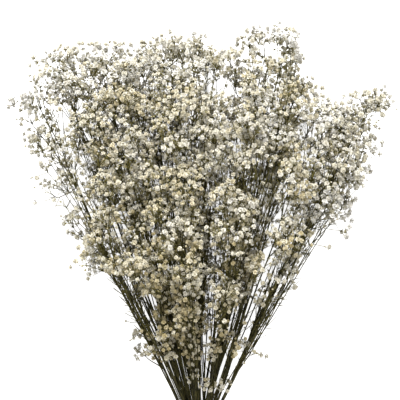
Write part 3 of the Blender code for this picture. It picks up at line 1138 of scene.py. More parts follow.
    def stops(self, line: list[Vector], pitch: float, start: tuple[float, float], again: float
              ) -> Iterator[tuple[Vector, Vector]]:
        """Walk along the wood, and stop where something may leave it.

        Args:
            line: The wood's points.
            pitch: The distance from a stop to the next.
            start: The least and the most of it that is taken as walked at the start.
            again: How much of it each distance after that may differ by.

        Yields:
            Each stop's place, and the wood's heading there.
        """
        walked = self.draw.uniform(*start) * pitch
        for before, here in zip(line, line[1:]):
            walked += (here - before).length
            if here.y < self.lateral_first or walked < pitch:
                continue
            walked = self.draw.uniform(-again, again) * pitch if again else 0.0
            yield here, (here - before).normalized()

    def grow_stalk(self) -> list[Vector]:
        """Grow the stem's stalk.

        Returns:
            The stalk's points.
        """
        stalk = smooth_line(self.stem.stalk, self.stalk_steps)
        top = stalk[-1].y
        radii = []
        for point in stalk:
            share = max(0.0, point.y / top) ** self.stalk_taper
            radii.append(between(self.stalk_radius, self.stalk_tip_radius, share))
        self.tubes.append(Tube(stalk, radii, WoodPart.STALK))
        return stalk

    def add_twig(self, twig: list[Vector], root: float, tip: float) -> None:
        """Add a tapered twig with the swelling that it leaves from.

        Args:
            twig: Its points.
            root: Its radius at the root.
            tip: Its radius at the tip.
        """
        last = len(twig) - 1
        radii = [root + (tip - root) * step / last for step in range(last + 1)]
        self.tubes.append(Tube(twig, radii, WoodPart.TWIG))
        self.knobs.append((twig[0], (twig[1] - twig[0]).normalized(), root * self.knob_swell))

    def grow_fine_twig(self, lines: list[list[Vector]], spray: Spray) -> list[Vector]:
        """Grow the twig of a small spray, steeply out of the wood below it.

        Args:
            lines: The stem's wood so far.
            spray: The spray.

        Returns:
            The twig's points, or none where no twig fits.
        """
        pick = self.draw.random()
        last = math.inf
        radius = self.fine_radius
        sideways = min(1.0, (self.stem.lean / self.side_lean) ** 2)
        basal = self.basal_share * (1.0 - (1.0 - self.basal_at_side) * sideways)
        if pick < basal:
            last = self.basal_last
            radius = self.basal_radius
        elif pick < basal + self.low_share:
            last = self.low_last
            radius = self.low_radius
        wanted = self.draw.uniform(*self.fine_angle)
        choices = []
        for points in lines if last == math.inf else lines[:1]:
            for before, here in zip(points, points[1:]):
                way = spray.knob - here
                if here.y < self.fine_first or here.y > last or way.length < self.fine_shortest:
                    continue
                run = (here - before).normalized()
                off = abs(run.angle(way) - wanted)
                cost = way.length * (self.join_cost + off * self.join_angle_cost)
                choices.append((cost, here, run))
        choices.sort(key=lambda choice: choice[0])
        for _, here, run in choices[:self.join_tries]:
            steer = self.bend(self.plan.twig_curve(here, run, spray))
            trial = bezier_line(steer, self.test_steps)
            above = min(point.z for point in trial) > radius + self.floor_gap
            if above and self.airiness.lets_pass(trial):
                twig = bezier_line(steer, self.fine_steps)
                self.add_twig(twig, radius, self.fine_tip_radius)
                return twig
        return []

    def bend(self, steer: tuple[Vector, ...]) -> tuple[Vector, ...]:
        """Bend a twig's curve at random, and arch some over the florets of the upper side.

        Args:
            steer: The curve's start, its two pulls and its end.

        Returns:
            The bent curve's start, pulls and end.
        """
        start, *pulls, end = steer
        reach = (end - start).length
        way = (end - start).normalized()
        pulls = [pull + aside(self.draw, way) * reach * self.twig_bend for pull in pulls]
        if self.draw.random() < self.arch_share and self.plan.depth_share(end) > self.arch_from:
            pulls = [pull + UP * reach * self.arch_rise for pull in pulls]
        return start, *pulls, end

    def grow_spray(self, spray: Spray) -> None:
        """Grow a spray's rays, the solids' own and the finer ones between them.

        Args:
            spray: The spray.
        """
        draw = self.draw
        self.knobs.append((spray.knob, spray.growth, self.fine_tip_radius * self.spray_swell))
        self.tone = draw.uniform(*self.tone_of_spray)
        ends = list(spray.heads)
        wanted = draw.randint(*self.fine_rays) if spray.fine else round(self.extra_rays * spray.size)
        scale = self.scale_least + self.scale_gain * spray.size
        spacing = self.ray_spacing * scale
        for _ in range(wanted):
            for _ in range(self.ray_tries):
                heading = leaving(draw, spray.growth, self.ray_spread)
                length = self.plan.ray_length[1] * spray.size * draw.uniform(*self.ray_share)
                end = spray.knob + heading * length
                if self.has_room(end) and all((end - other).length > spacing for other in ends):
                    ends.append(end)
                    break
        full = self.fine_cluster_count if spray.fine else self.cluster_count * scale
        for end in ends:
            way = end - spray.knob
            drawn = full + draw.uniform(-self.cluster_jitter, self.cluster_jitter)
            count = max(self.cluster_least, round(drawn))
            self.grow_ray(spray.knob, way.normalized(), way.length, count, scale)

    def grow_ray(self, start: Vector, heading: Vector, length: float, count: int, scale: float
                 ) -> None:
        """Grow a ray that forks near its end into pedicels with florets.

        Args:
            start: Where the ray leaves.
            heading: Its heading.
            length: The distance to the middle of its florets.
            count: The number of florets wanted.
            scale: The size of its floret cluster, 1 for a full one.
        """
        back = min(self.cluster_back * scale, self.cluster_back_share * length)
        fork = start + heading * (length - back)
        sway = aside(self.draw, heading) * self.ray_bow * length
        line = []
        radii = []
        for step in range(self.ray_steps + 1):
            share = step / self.ray_steps
            line.append(start.lerp(fork, share) + sway * math.sin(math.pi * share))
            radii.append(between(self.ray_radius, self.ray_tip_radius, share))
        self.tubes.append(Tube(line, radii, WoodPart.RAY))
        self.knobs.append((fork, heading, self.ray_tip_radius * self.knob_swell))
        for number in range(count):
            self.grow_floret(fork, heading, scale, number == 0)

    def grow_floret(self, fork: Vector, heading: Vector, scale: float, central: bool) -> None:
        """Grow one floret on its pedicel, if there is room for it.

        Args:
            fork: Where the pedicel leaves.
            heading: The ray's heading.
            scale: The size of the cluster.
            central: Whether this is the cluster's middle floret.
        """
        draw = self.draw
        pick = draw.random()
        kind, radius = next((kind, radius) for kind, share, radius in self.kinds if pick <= share)
        depth = self.plan.depth_share(fork)
        rim = self.plan.rim_share(fork)
        size = radius * draw.uniform(1.0 - self.size_jitter, 1.0 + self.size_jitter)
        size *= self.size_behind + (1.0 - self.size_behind) * depth
        size *= 1.0 - (1.0 - self.size_at_rim) * rim
        # How near the tie a floret is sets its smaller size and its painted shade
        full, none = self.tie_shade
        near = clamped((none - fork.y) / (none - full))
        size *= 1.0 - (1.0 - self.size_near_tie) * near
        for _ in range(self.cluster_tries):
            share = self.central_share if central else draw.uniform(*self.outer_share)
            way = fanned(heading, share * self.cluster_spread, draw.uniform(0.0, math.tau))
            place = fork + way * draw.uniform(*self.cluster_reach) * scale
            if place.z < size + self.floor_gap or not self.crowd.is_free(place, size):
                continue
            if not self.airiness.keeps(draw, place):
                return
            if draw.random() < rim * (1.0 - self.kept_at_rim):
                return
            self.crowd.take(place, size)
            facing = way + self.plan.outward(place) * self.facing_out
            facing += jitter(draw, self.facing_jitter)
            facing = (facing + UP * self.facing_front * rim).normalized()
            roll = draw.uniform(0.0, math.tau)
            tone = self.tone + draw.uniform(-self.tone_jitter, self.tone_jitter)
            # Painted light at the rim and painted shade near the tie are added to the floret's own tone
            tone += self.painted_light_at_rim * rim + self.painted_shade_near_tie * near
            fine = depth > (self.fine_above if place.y > self.near_tie else self.fine_near_tie)
            self.florets.append(Floret(place, facing, kind, size, tone, roll, fine))
            base = place - facing * size * self.pedicel_end
            radii = [self.pedicel_radius, self.pedicel_radius * self.pedicel_taper]
            self.tubes.append(Tube([fork, base], radii, WoodPart.PEDICEL))
            return

    def grow_laterals(self, line: list[Vector]) -> None:
        """Grow the short side shoots along a stalk or a twig.

        Args:
            line: The stalk's or the twig's points.
        """
        draw = self.draw
        pitch = self.lateral_pitch
        for here, run in self.stops(line, pitch, self.lateral_start, self.lateral_jitter):
            heading = leaving(draw, run, self.lateral_spread)
            length = draw.uniform(*self.lateral_length)
            if self.has_room(here + heading * length):
                self.knobs.append((here, heading, self.ray_radius * self.knob_swell))
                self.tone = draw.uniform(*self.tone_of_spray)
                count = draw.randint(*self.lateral_count)
                self.grow_ray(here, heading, length, count, self.lateral_scale)

    def grow_shoots(self, line: list[Vector]) -> None:
        """Grow the thin shoots along a stalk or a twig that have lost their florets.

        Args:
            line: The stalk's or the twig's points.
        """
        for here, run in self.stops(line, self.shoot_pitch, self.shoot_start, 0.0):
            heading = leaving(self.draw, run, self.shoot_spread)
            end = here + heading * self.draw.uniform(*self.shoot_length)
            if self.has_room(end) and self.airiness.lets_pass([here, end]):
                radii = [self.ray_radius, self.pedicel_radius]
                self.tubes.append(Tube([here, end], radii, WoodPart.RAY))

    def grow_stubs(self, stalk: list[Vector]) -> None:
        """Grow the short broken stubs on the bare lower stalk.

        Args:
            stalk: The stalk's points.
        """
        bare = [index for index, point in enumerate(stalk[1:], start=1)
                if self.stub_reach[0] < point.y < self.stub_reach[1]]
        for index in self.draw.sample(bare, min(self.stub_count, len(bare))):
            run = (stalk[index] - stalk[index - 1]).normalized()
            heading = leaving(self.draw, run, self.stub_spread)
            end = stalk[index] + heading * self.draw.uniform(*self.stub_length)
            radii = [self.stub_radius, self.stub_radius * self.stub_taper]
            self.tubes.append(Tube([stalk[index], end], radii, WoodPart.TWIG))
            self.knobs.append((stalk[index], heading, self.stub_radius * self.stub_swell))


@dataclass(frozen=True)
class BarkFinish:
    """Dry bark: mottled along the wood, dull, with fine lengthwise ridges."""

    name: str
    dark: tuple
    light: tuple
    roughness: float
    ridge: float
    gloss: float = 0.15
    stretch: tuple = (900.0, 90.0, 900.0)
    fibre_detail: float = 4.0
    patch_scale: float = 130.0
    patch_detail: float = 2.0
    part_of_each: float = 0.5
    dark_until: float = 0.40
    light_from: float = 0.60
    ridge_height: float = 0.2 * MM

    def build(self) -> bpy.types.Material:
        """Make the material.

        Returns:
            The material.
        """
        material, shader, nodes, links = new_material(self.name)
        shader.inputs["Roughness"].default_value = self.roughness
        shader.inputs["Specular IOR Level"].default_value = self.gloss
        coords = nodes.new("ShaderNodeTexCoord")
        stretch = nodes.new("ShaderNodeMapping")
        stretch.inputs["Scale"].default_value = self.stretch
        links.new(coords.outputs["Object"], stretch.inputs["Vector"])
        fibre = add_noise(nodes, links, stretch.outputs["Vector"], 1.0, self.fibre_detail)
        patch = add_noise(nodes, links, coords.outputs["Object"], self.patch_scale, self.patch_detail)
        blend = nodes.new("ShaderNodeMath")
        blend.operation = "MULTIPLY_ADD"
        blend.inputs[1].default_value = self.part_of_each
        links.new(fibre.outputs["Fac"], blend.inputs[0])
        weaken = nodes.new("ShaderNodeMath")
        weaken.operation = "MULTIPLY"
        weaken.inputs[1].default_value = self.part_of_each
        links.new(patch.outputs["Fac"], weaken.inputs[0])
        links.new(weaken.outputs["Value"], blend.inputs[2])
        ramp = colour_ramp(nodes, ((self.dark_until, self.dark), (self.light_from, self.light)))
        links.new(blend.outputs["Value"], ramp.inputs["Fac"])
        links.new(ramp.outputs["Color"], shader.inputs["Base Color"])
        add_bump(nodes, links, fibre.outputs["Fac"], shader, self.ridge, self.ridge_height)
        return material


@dataclass(frozen=True)
class PetalFinish:
    """Papery dried petals: cream at the tips, browner at the base, each floret its own tone, which also
    carries painted light at the rim and painted shade near the tie.
    """

    name: str = "dried_petal"
    tones: tuple = (
        (0.0, (0.57, 0.485, 0.27)), (0.2, (0.72, 0.65, 0.455)),
        (0.45, (0.795, 0.755, 0.62)), (0.75, (0.815, 0.788, 0.70)), (1.0, (0.83, 0.815, 0.77)),
    )
    base: tuple = (0.57, 0.50, 0.25)
    base_until: float = 0.05
    full_from: float = 0.62
    crinkle_scale: float = 1400.0
    crinkle_detail: float = 3.0
    crinkle_height: float = 0.1 * MM
    relief: float = 0.4
    mottle: float = 0.2
    roughness: float = 0.78

    def build(self) -> bpy.types.Material:
        """Make the material.

        Returns:
            The material.
        """
        material, shader, nodes, links = new_material(self.name)
        shader.inputs["Roughness"].default_value = self.roughness
        # Each floret's tone, with its painted light and painted shade in it
        tone = nodes.new("ShaderNodeAttribute")
        tone.attribute_name = "tone"
        reach = nodes.new("ShaderNodeAttribute")
        reach.attribute_name = "reach"
        ramp = colour_ramp(nodes, self.tones)
        links.new(tone.outputs["Fac"], ramp.inputs["Fac"])
        fade = nodes.new("ShaderNodeMix")
        fade.data_type = "RGBA"
        fade.inputs["A"].default_value = (*self.base, 1.0)
        links.new(ramp.outputs["Color"], fade.inputs["B"])
        ease = nodes.new("ShaderNodeMapRange")
        ease.inputs["From Min"].default_value = self.base_until
        ease.inputs["From Max"].default_value = self.full_from
        links.new(reach.outputs["Fac"], ease.inputs["Value"])
        links.new(ease.outputs["Result"], fade.inputs["Factor"])
        coords = nodes.new("ShaderNodeTexCoord")
        crinkle = add_noise(nodes, links, coords.outputs["Object"], self.crinkle_scale,
                            self.crinkle_detail)
        mottle = nodes.new("ShaderNodeMix")
        mottle.data_type = "RGBA"
        mottle.blend_type = "MULTIPLY"
        mottle.inputs["Factor"].default_value = self.mottle
        links.new(fade.outputs["Result"], mottle.inputs["A"])
        links.new(crinkle.outputs["Color"], mottle.inputs["B"])
        links.new(mottle.outputs["Result"], shader.inputs["Base Color"])
        add_bump(nodes, links, crinkle.outputs["Fac"], shader, self.relief, self.crinkle_height)
        return material


@dataclass(frozen=True)
class JuteFinish:
    """Coarse plied fibre, tan with darker strands."""

    name: str = "jute_fibre"
    dark: tuple = (0.24, 0.16, 0.08)
    light: tuple = (0.52, 0.39, 0.22)
    dark_until: float = 0.35
    light_from: float = 0.65
    strand_scale: float = 1800.0
    strand_detail: float = 4.0
    strand_height: float = 0.3 * MM
    relief: float = 0.8
    roughness: float = 0.92

    def build(self) -> bpy.types.Material:
        """Make the material.

        Returns:
            The material.
        """
        material, shader, nodes, links = new_material(self.name)
        shader.inputs["Roughness"].default_value = self.roughness
        coords = nodes.new("ShaderNodeTexCoord")
        strand = add_noise(nodes, links, coords.outputs["Object"], self.strand_scale,
                           self.strand_detail)
        ramp = colour_ramp(nodes, ((self.dark_until, self.dark), (self.light_from, self.light)))
        links.new(strand.outputs["Fac"], ramp.inputs["Fac"])
        links.new(ramp.outputs["Color"], shader.inputs["Base Color"])
        add_bump(nodes, links, strand.outputs["Fac"], shader, self.relief, self.strand_height)
        return material


def new_material(name: str) -> tuple:
    """Make an empty Principled material.

    Args:
        name: Its name.

    Returns:
        The material, its shader, its nodes and its links.
    """
    material = bpy.data.materials.new(name)
    material.use_nodes = True
    tree = material.node_tree
    return material, tree.nodes["Principled BSDF"], tree.nodes, tree.links


def add_noise(nodes: bpy.types.Nodes, links: bpy.types.NodeLinks, place: bpy.types.NodeSocket,
              scale: float, detail: float) -> bpy.types.Node:
    """Add a noise pattern.

    Args:
        nodes: The material's nodes.
        links: Its links.
        place: The coordinates' output.
        scale: The pattern's scale.
        detail: Its detail.

    Returns:
        The noise node.
    """
    noise = nodes.new("ShaderNodeTexNoise")
    noise.inputs["Scale"].default_value = scale
    noise.inputs["Detail"].default_value = detail
    links.new(place, noise.inputs["Vector"])
    return noise


def colour_ramp(nodes: bpy.types.Nodes, stops: Iterable[tuple]) -> bpy.types.Node:
    """Add a colour ramp.

    Args:
        nodes: The material's nodes.
        stops: Each stop's position and colour, in order.

    Returns:
        The ramp node.
    """
    ramp = nodes.new("ShaderNodeValToRGB")
    stops = list(stops)
    elements = ramp.color_ramp.elements
    while len(elements) < len(stops):
        elements.new(0.5)
    for element, (position, colour) in zip(elements, stops):
        element.position = position
        element.color = (*colour, 1.0)
    return ramp


def add_bump(nodes: bpy.types.Nodes, links: bpy.types.NodeLinks, height: bpy.types.NodeSocket,
             shader: bpy.types.Node, strength: float, distance: float) -> None:
    """Raise a shader's surface by a pattern.

    Args:
        nodes: The material's nodes.
        links: Its links.
        height: The pattern's output.
        shader: The shader.
        strength: How strong the relief is.
        distance: How high it stands, in metres.
    """
    bump = nodes.new("ShaderNodeBump")
    bump.inputs["Strength"].default_value = strength
    bump.inputs["Distance"].default_value = distance
    links.new(height, bump.inputs["Height"])
    links.new(bump.outputs["Normal"], shader.inputs["Normal"])


@dataclass
class FloretMould:
    """Makes small meshes for the kinds of floret, 1 unit in radius, facing +Z."""

    petal_sides: int
    calyx_sides: int
    open_rings: tuple
    ruffled_rings: tuple
    half_rings: tuple = ((4, 62.0, 1.25, 1.0, -0.35),)
    ring_offset: float = 0.5
    ring_turn: float = 0.2
    tilt_wobble: float = 0.16
    tilt_step: float = 2.4
    roll_wobble: float = 0.25
    roll_step: float = 3.1
    thickness: float = 0.22
    cup: float = 0.16
    overlap_at_base: float = 0.05
    calyx_radius: float = 0.42
    calyx_depth: float = 0.62
    calyx_sink: float = 0.42
    bud_radius: float = 0.85
    bud_stretch: float = 1.15
    bud_reach: float = 0.25
    bud_reach_rise: float = 0.5
    bud_calyx_top: float = 0.1

    def build(self) -> dict[FloretKind, bpy.types.Mesh]:
        """Make every kind.

        Returns:
            The meshes by kind.
        """
        return {
            FloretKind.OPEN: self.bloom("open", self.open_rings),
            FloretKind.RUFFLED: self.bloom("ruffled", self.ruffled_rings),
            FloretKind.HALF: self.bloom("half", self.half_rings),
            FloretKind.BUD: self.bud(),
        }

    def bloom(self, name: str, rings: tuple) -> bpy.types.Mesh:
        """Make a floret of petal rings over a calyx.

        Args:
            name: The mesh's name.
            rings: Each ring's count, tilt in degrees, length, width and height.

        Returns:
            The mesh.
        """
        form = bmesh.new()
        reach = form.verts.layers.float.new("reach")
        for order, (count, tilt, length, width, height) in enumerate(rings):
            for number in range(count):
                turn = math.tau * (number + self.ring_offset * order) / count
                turn += self.ring_turn * order
                wobble = self.tilt_wobble * math.sin(self.tilt_step * number + order)
                roll = self.roll_wobble * math.cos(self.roll_step * number)
                place = (Matrix.Rotation(turn, 4, "Z")
                         @ Matrix.Translation((0.0, 0.0, height))
                         @ Matrix.Rotation(-math.radians(tilt) - wobble, 4, "Y")
                         @ Matrix.Rotation(roll, 4, "X"))
                self.petal(form, reach, place, length, width)
        self.calyx(form, reach)
        return mould_mesh(name, form)

    def petal(self, form: bmesh.types.BMesh, reach: bmesh.types.BMLayerItem, place: Matrix,
              length: float, width: float) -> None:
        """Add one petal: a closed blade, narrow at its base, cupped above and keeled below.

        Args:
            form: The mesh in the making.
            reach: The layer that runs from 0 at a petal's base to 1 at its tip.
            place: Where the petal goes.
            length: Its length.
            width: Its full width.
        """
        made = bmesh.ops.create_cone(form, cap_ends=True, segments=self.petal_sides, radius1=0.0,
                                     radius2=1.0, depth=1.0)["verts"]
        rim = [corner for corner in made if corner.co.z > 0.0]
        turn = math.pi - math.atan2(rim[0].co.y, rim[0].co.x)
        bmesh.ops.transform(form, verts=made, matrix=Matrix.Rotation(turn, 4, "Z"))
        for corner in rim:
            corner.co.z += self.cup / self.thickness * abs(corner.co.y)
        furthest = max(corner.co.x for corner in rim)
        stretch = length * (1.0 + self.overlap_at_base) / (1.0 + furthest)
        size = Matrix.Diagonal((stretch, width * 0.5, self.thickness, 1.0))
        shift = Matrix.Translation((stretch - length * self.overlap_at_base, 0.0, 0.0))
        bmesh.ops.transform(form, verts=made, matrix=place @ shift @ size)
        for corner in made:
            corner[reach] = min(1.0, corner.co.length)

    def calyx(self, form: bmesh.types.BMesh, reach: bmesh.types.BMLayerItem) -> None:
        """Add the green cup that holds the petals.

        Args:
            form: The mesh in the making.
            reach: The petals' reach layer, 0 here.
        """
        before = set(form.faces)
        made = bmesh.ops.create_cone(
            form, cap_ends=True, segments=self.calyx_sides, radius1=0.0,
            radius2=self.calyx_radius, depth=self.calyx_depth)["verts"]
        sink = -self.calyx_depth * self.calyx_sink
        bmesh.ops.translate(form, verts=made, vec=(0.0, 0.0, sink))
        for face in set(form.faces) - before:
            face.material_index = 1
        for corner in made:
            corner[reach] = 0.0

    def bud(self) -> bpy.types.Mesh:
        """Make a closed bud: a pale tip in a green calyx.

        Returns:
            The mesh.
        """
        form = bmesh.new()
        reach = form.verts.layers.float.new("reach")
        made = bmesh.ops.create_icosphere(form, subdivisions=1, radius=self.bud_radius)["verts"]
        bmesh.ops.scale(form, verts=made, vec=(1.0, 1.0, self.bud_stretch))
        for corner in made:
            corner[reach] = self.bud_reach + self.bud_reach_rise * max(0.0, corner.co.z)
        for face in form.faces:
            face.material_index = int(face.calc_center_median().z < self.bud_calyx_top)
        return mould_mesh("bud", form)


@dataclass
class KnobMould:
    """Makes the small swellings at forks, 1 unit in radius."""

    # The sides and rings of each
    forms: tuple = ((WoodPart.TWIG, 6, 4), (WoodPart.RAY, 4, 2))

    def build(self) -> dict[WoodPart, bpy.types.Mesh]:
        """Make one for twigs and a plainer one for rays.

        Returns:
            The meshes by the wood that they are on.
        """
        return {part: self.knob(part, sides, rings) for part, sides, rings in self.forms}

    def knob(self, part: WoodPart, sides: int, rings: int) -> bpy.types.Mesh:
        """Make one knob.

        Args:
            part: The wood that it is on.
            sides: Its sides.
            rings: Its rings.

        Returns:
            The mesh.
        """
        form = bmesh.new()
        bmesh.ops.create_uvsphere(form, u_segments=sides, v_segments=rings, radius=1.0)
        for face in form.faces:
            face.material_index = list(WoodPart).index(part)
        mesh = bpy.data.meshes.new("knob_" + part.value)
        form.to_mesh(mesh)
        form.free()
        return mesh


def mould_mesh(name: str, form: bmesh.types.BMesh) -> bpy.types.Mesh:
    """Turn a mesh in the making into a mesh that is stamped many times.

    Args:
        name: The mesh's name.
        form: The mesh in the making, freed here.

    Returns:
        The mesh.
    """
    form.verts.layers.float.new("tone")
    mesh = bpy.data.meshes.new("mould_" + name)
    form.to_mesh(mesh)
    form.free()
    return mesh


def stamp(form: bmesh.types.BMesh, mould: bpy.types.Mesh, matrix: Matrix, tone: float = 0.0) -> None:
    """Add a copy of a mould to a mesh in the making.

    Args:
        form: The mesh in the making.
        mould: The mould.
        matrix: Where the copy goes.
        tone: The copy's tone, where the mould has one.
    """
    copy = mould.copy()
    if "tone" in copy.attributes:
        copy.attributes["tone"].data.foreach_set("value", [tone] * len(copy.vertices))
    copy.transform(matrix)
    form.from_mesh(copy)
    bpy.data.meshes.remove(copy)


def turn_to(heading: Vector) -> Matrix:
    """Give the turn that makes a mould face along a heading."""
    return heading.to_track_quat("Z", "Y").to_matrix().to_4x4()


@dataclass
class FloretPiece:
    """All the florets of one stem, stamped into one mesh."""

    stem: Stem
    florets: list[Floret]
    moulds: dict[bool, dict[FloretKind, bpy.types.Mesh]]
    materials: tuple

    def build(self, shift: Vector) -> bpy.types.Object:
        """Stamp the florets.

        Args:
            shift: The way from the plan's origin to the solids' origin.

        Returns:
            The piece.
        """
        form = bmesh.new()
        for floret in self.florets:
            matrix = (Matrix.Translation(floret.place + shift) @ turn_to(floret.heading)
                      @ Matrix.Rotation(floret.roll, 4, "Z") @ Matrix.Scale(floret.size, 4))
            stamp(form, self.moulds[floret.fine][floret.kind], matrix, floret.tone)
        return finish_piece(self.stem.name.replace("stem", "florets"), form, self.materials)


@dataclass
class WoodPiece:
    """One stem's stalk, twigs, rays and pedicels, in one mesh."""

    stem: Stem
    tubes: list[Tube]
    knobs: list[tuple]
    moulds: dict[WoodPart, bpy.types.Mesh]
    materials: tuple
    sides: dict = field(default_factory=lambda: {
        WoodPart.STALK: 9, WoodPart.TWIG: 5, WoodPart.RAY: 3, WoodPart.PEDICEL: 3})
    plain_below: float = 0.7 * MM
    knob_form: tuple = (0.8, 0.8, 1.3)

    def build(self, shift: Vector) -> bpy.types.Object:
        """Build the wood.

        Args:
            shift: The way from the plan's origin to the solids' origin.

        Returns:
            The piece.
        """
        form = bmesh.new()
        for order, part in enumerate(WoodPart):
            chosen = [tube for tube in self.tubes if tube.part is part]
            add_tubes(form, chosen, self.sides[part], order)
        weld(form)
        for place, heading, radius in self.knobs:
            size = Matrix.Diagonal((*(radius * share for share in self.knob_form), 1.0))
            matrix = Matrix.Translation(place) @ turn_to(heading) @ size
            part = WoodPart.RAY if radius < self.plain_below else WoodPart.TWIG
            stamp(form, self.moulds[part], matrix)
        bmesh.ops.translate(form, verts=form.verts, vec=shift)
        return finish_piece(self.stem.name.replace("stem", "wood"), form, self.materials)


def add_tubes(form: bmesh.types.BMesh, tubes: list[Tube], sides: int, order: int = 0) -> None:
    """Add tubes to a mesh in the making, by a curve that a small round profile follows.

    Args:
        form: The mesh in the making.
        tubes: The tubes.
        sides: The profile's sides.
        order: The place of their material among the piece's.
    """
    profile = bpy.data.curves.new("profile", "CURVE")
    ring = profile.splines.new("POLY")
    ring.points.add(sides - 1)
    for step, corner in enumerate(ring.points):
        angle = math.tau * step / sides
        corner.co = (math.cos(angle), math.sin(angle), 0.0, 1.0)
    ring.use_cyclic_u = True
    shape = bpy.data.objects.new("profile", profile)
    curve = bpy.data.curves.new("tubes", "CURVE")
    curve.dimensions = "3D"
    curve.bevel_mode = "OBJECT"
    curve.bevel_object = shape
    curve.use_fill_caps = True
    for tube in tubes:
        spline = curve.splines.new("POLY")
        spline.points.add(len(tube.points) - 1)
        spline.points.foreach_set("co", [value for point in tube.points for value in (*point, 1.0)])
        spline.points.foreach_set("radius", tube.radii)
    source = bpy.data.objects.new("tubes", curve)
    for item in (shape, source):
        bpy.context.scene.collection.objects.link(item)
    graph = bpy.context.evaluated_depsgraph_get()
    mesh = bpy.data.meshes.new_from_object(source.evaluated_get(graph))
    for item, data in ((source, curve), (shape, profile)):
        bpy.data.objects.remove(item)
        bpy.data.curves.remove(data)
    for face in mesh.polygons:
        face.material_index = order
    form.from_mesh(mesh)
    bpy.data.meshes.remove(mesh)


def weld(form: bmesh.types.BMesh) -> None:
    """Join the corners that a mesh in the making has twice, and turn its faces outwards."""
    bmesh.ops.remove_doubles(form, verts=form.verts, dist=WELD)
    bmesh.ops.recalc_face_normals(form, faces=form.faces)


def finish_piece(name: str, form: bmesh.types.BMesh, materials: Iterable[bpy.types.Material]
                 ) -> bpy.types.Object:
    """Turn a mesh in the making into a piece at the origin.

    Args:
        name: The piece's name.
        form: The mesh in the making, freed here.
        materials: Its materials.

    Returns:
        The piece.
    """
    mesh = bpy.data.meshes.new(name)
    form.to_mesh(mesh)
    form.free()
    for material in materials:
        mesh.materials.append(material)
    piece = bpy.data.objects.new(name, mesh)
    bpy.context.scene.collection.objects.link(piece)
    return piece


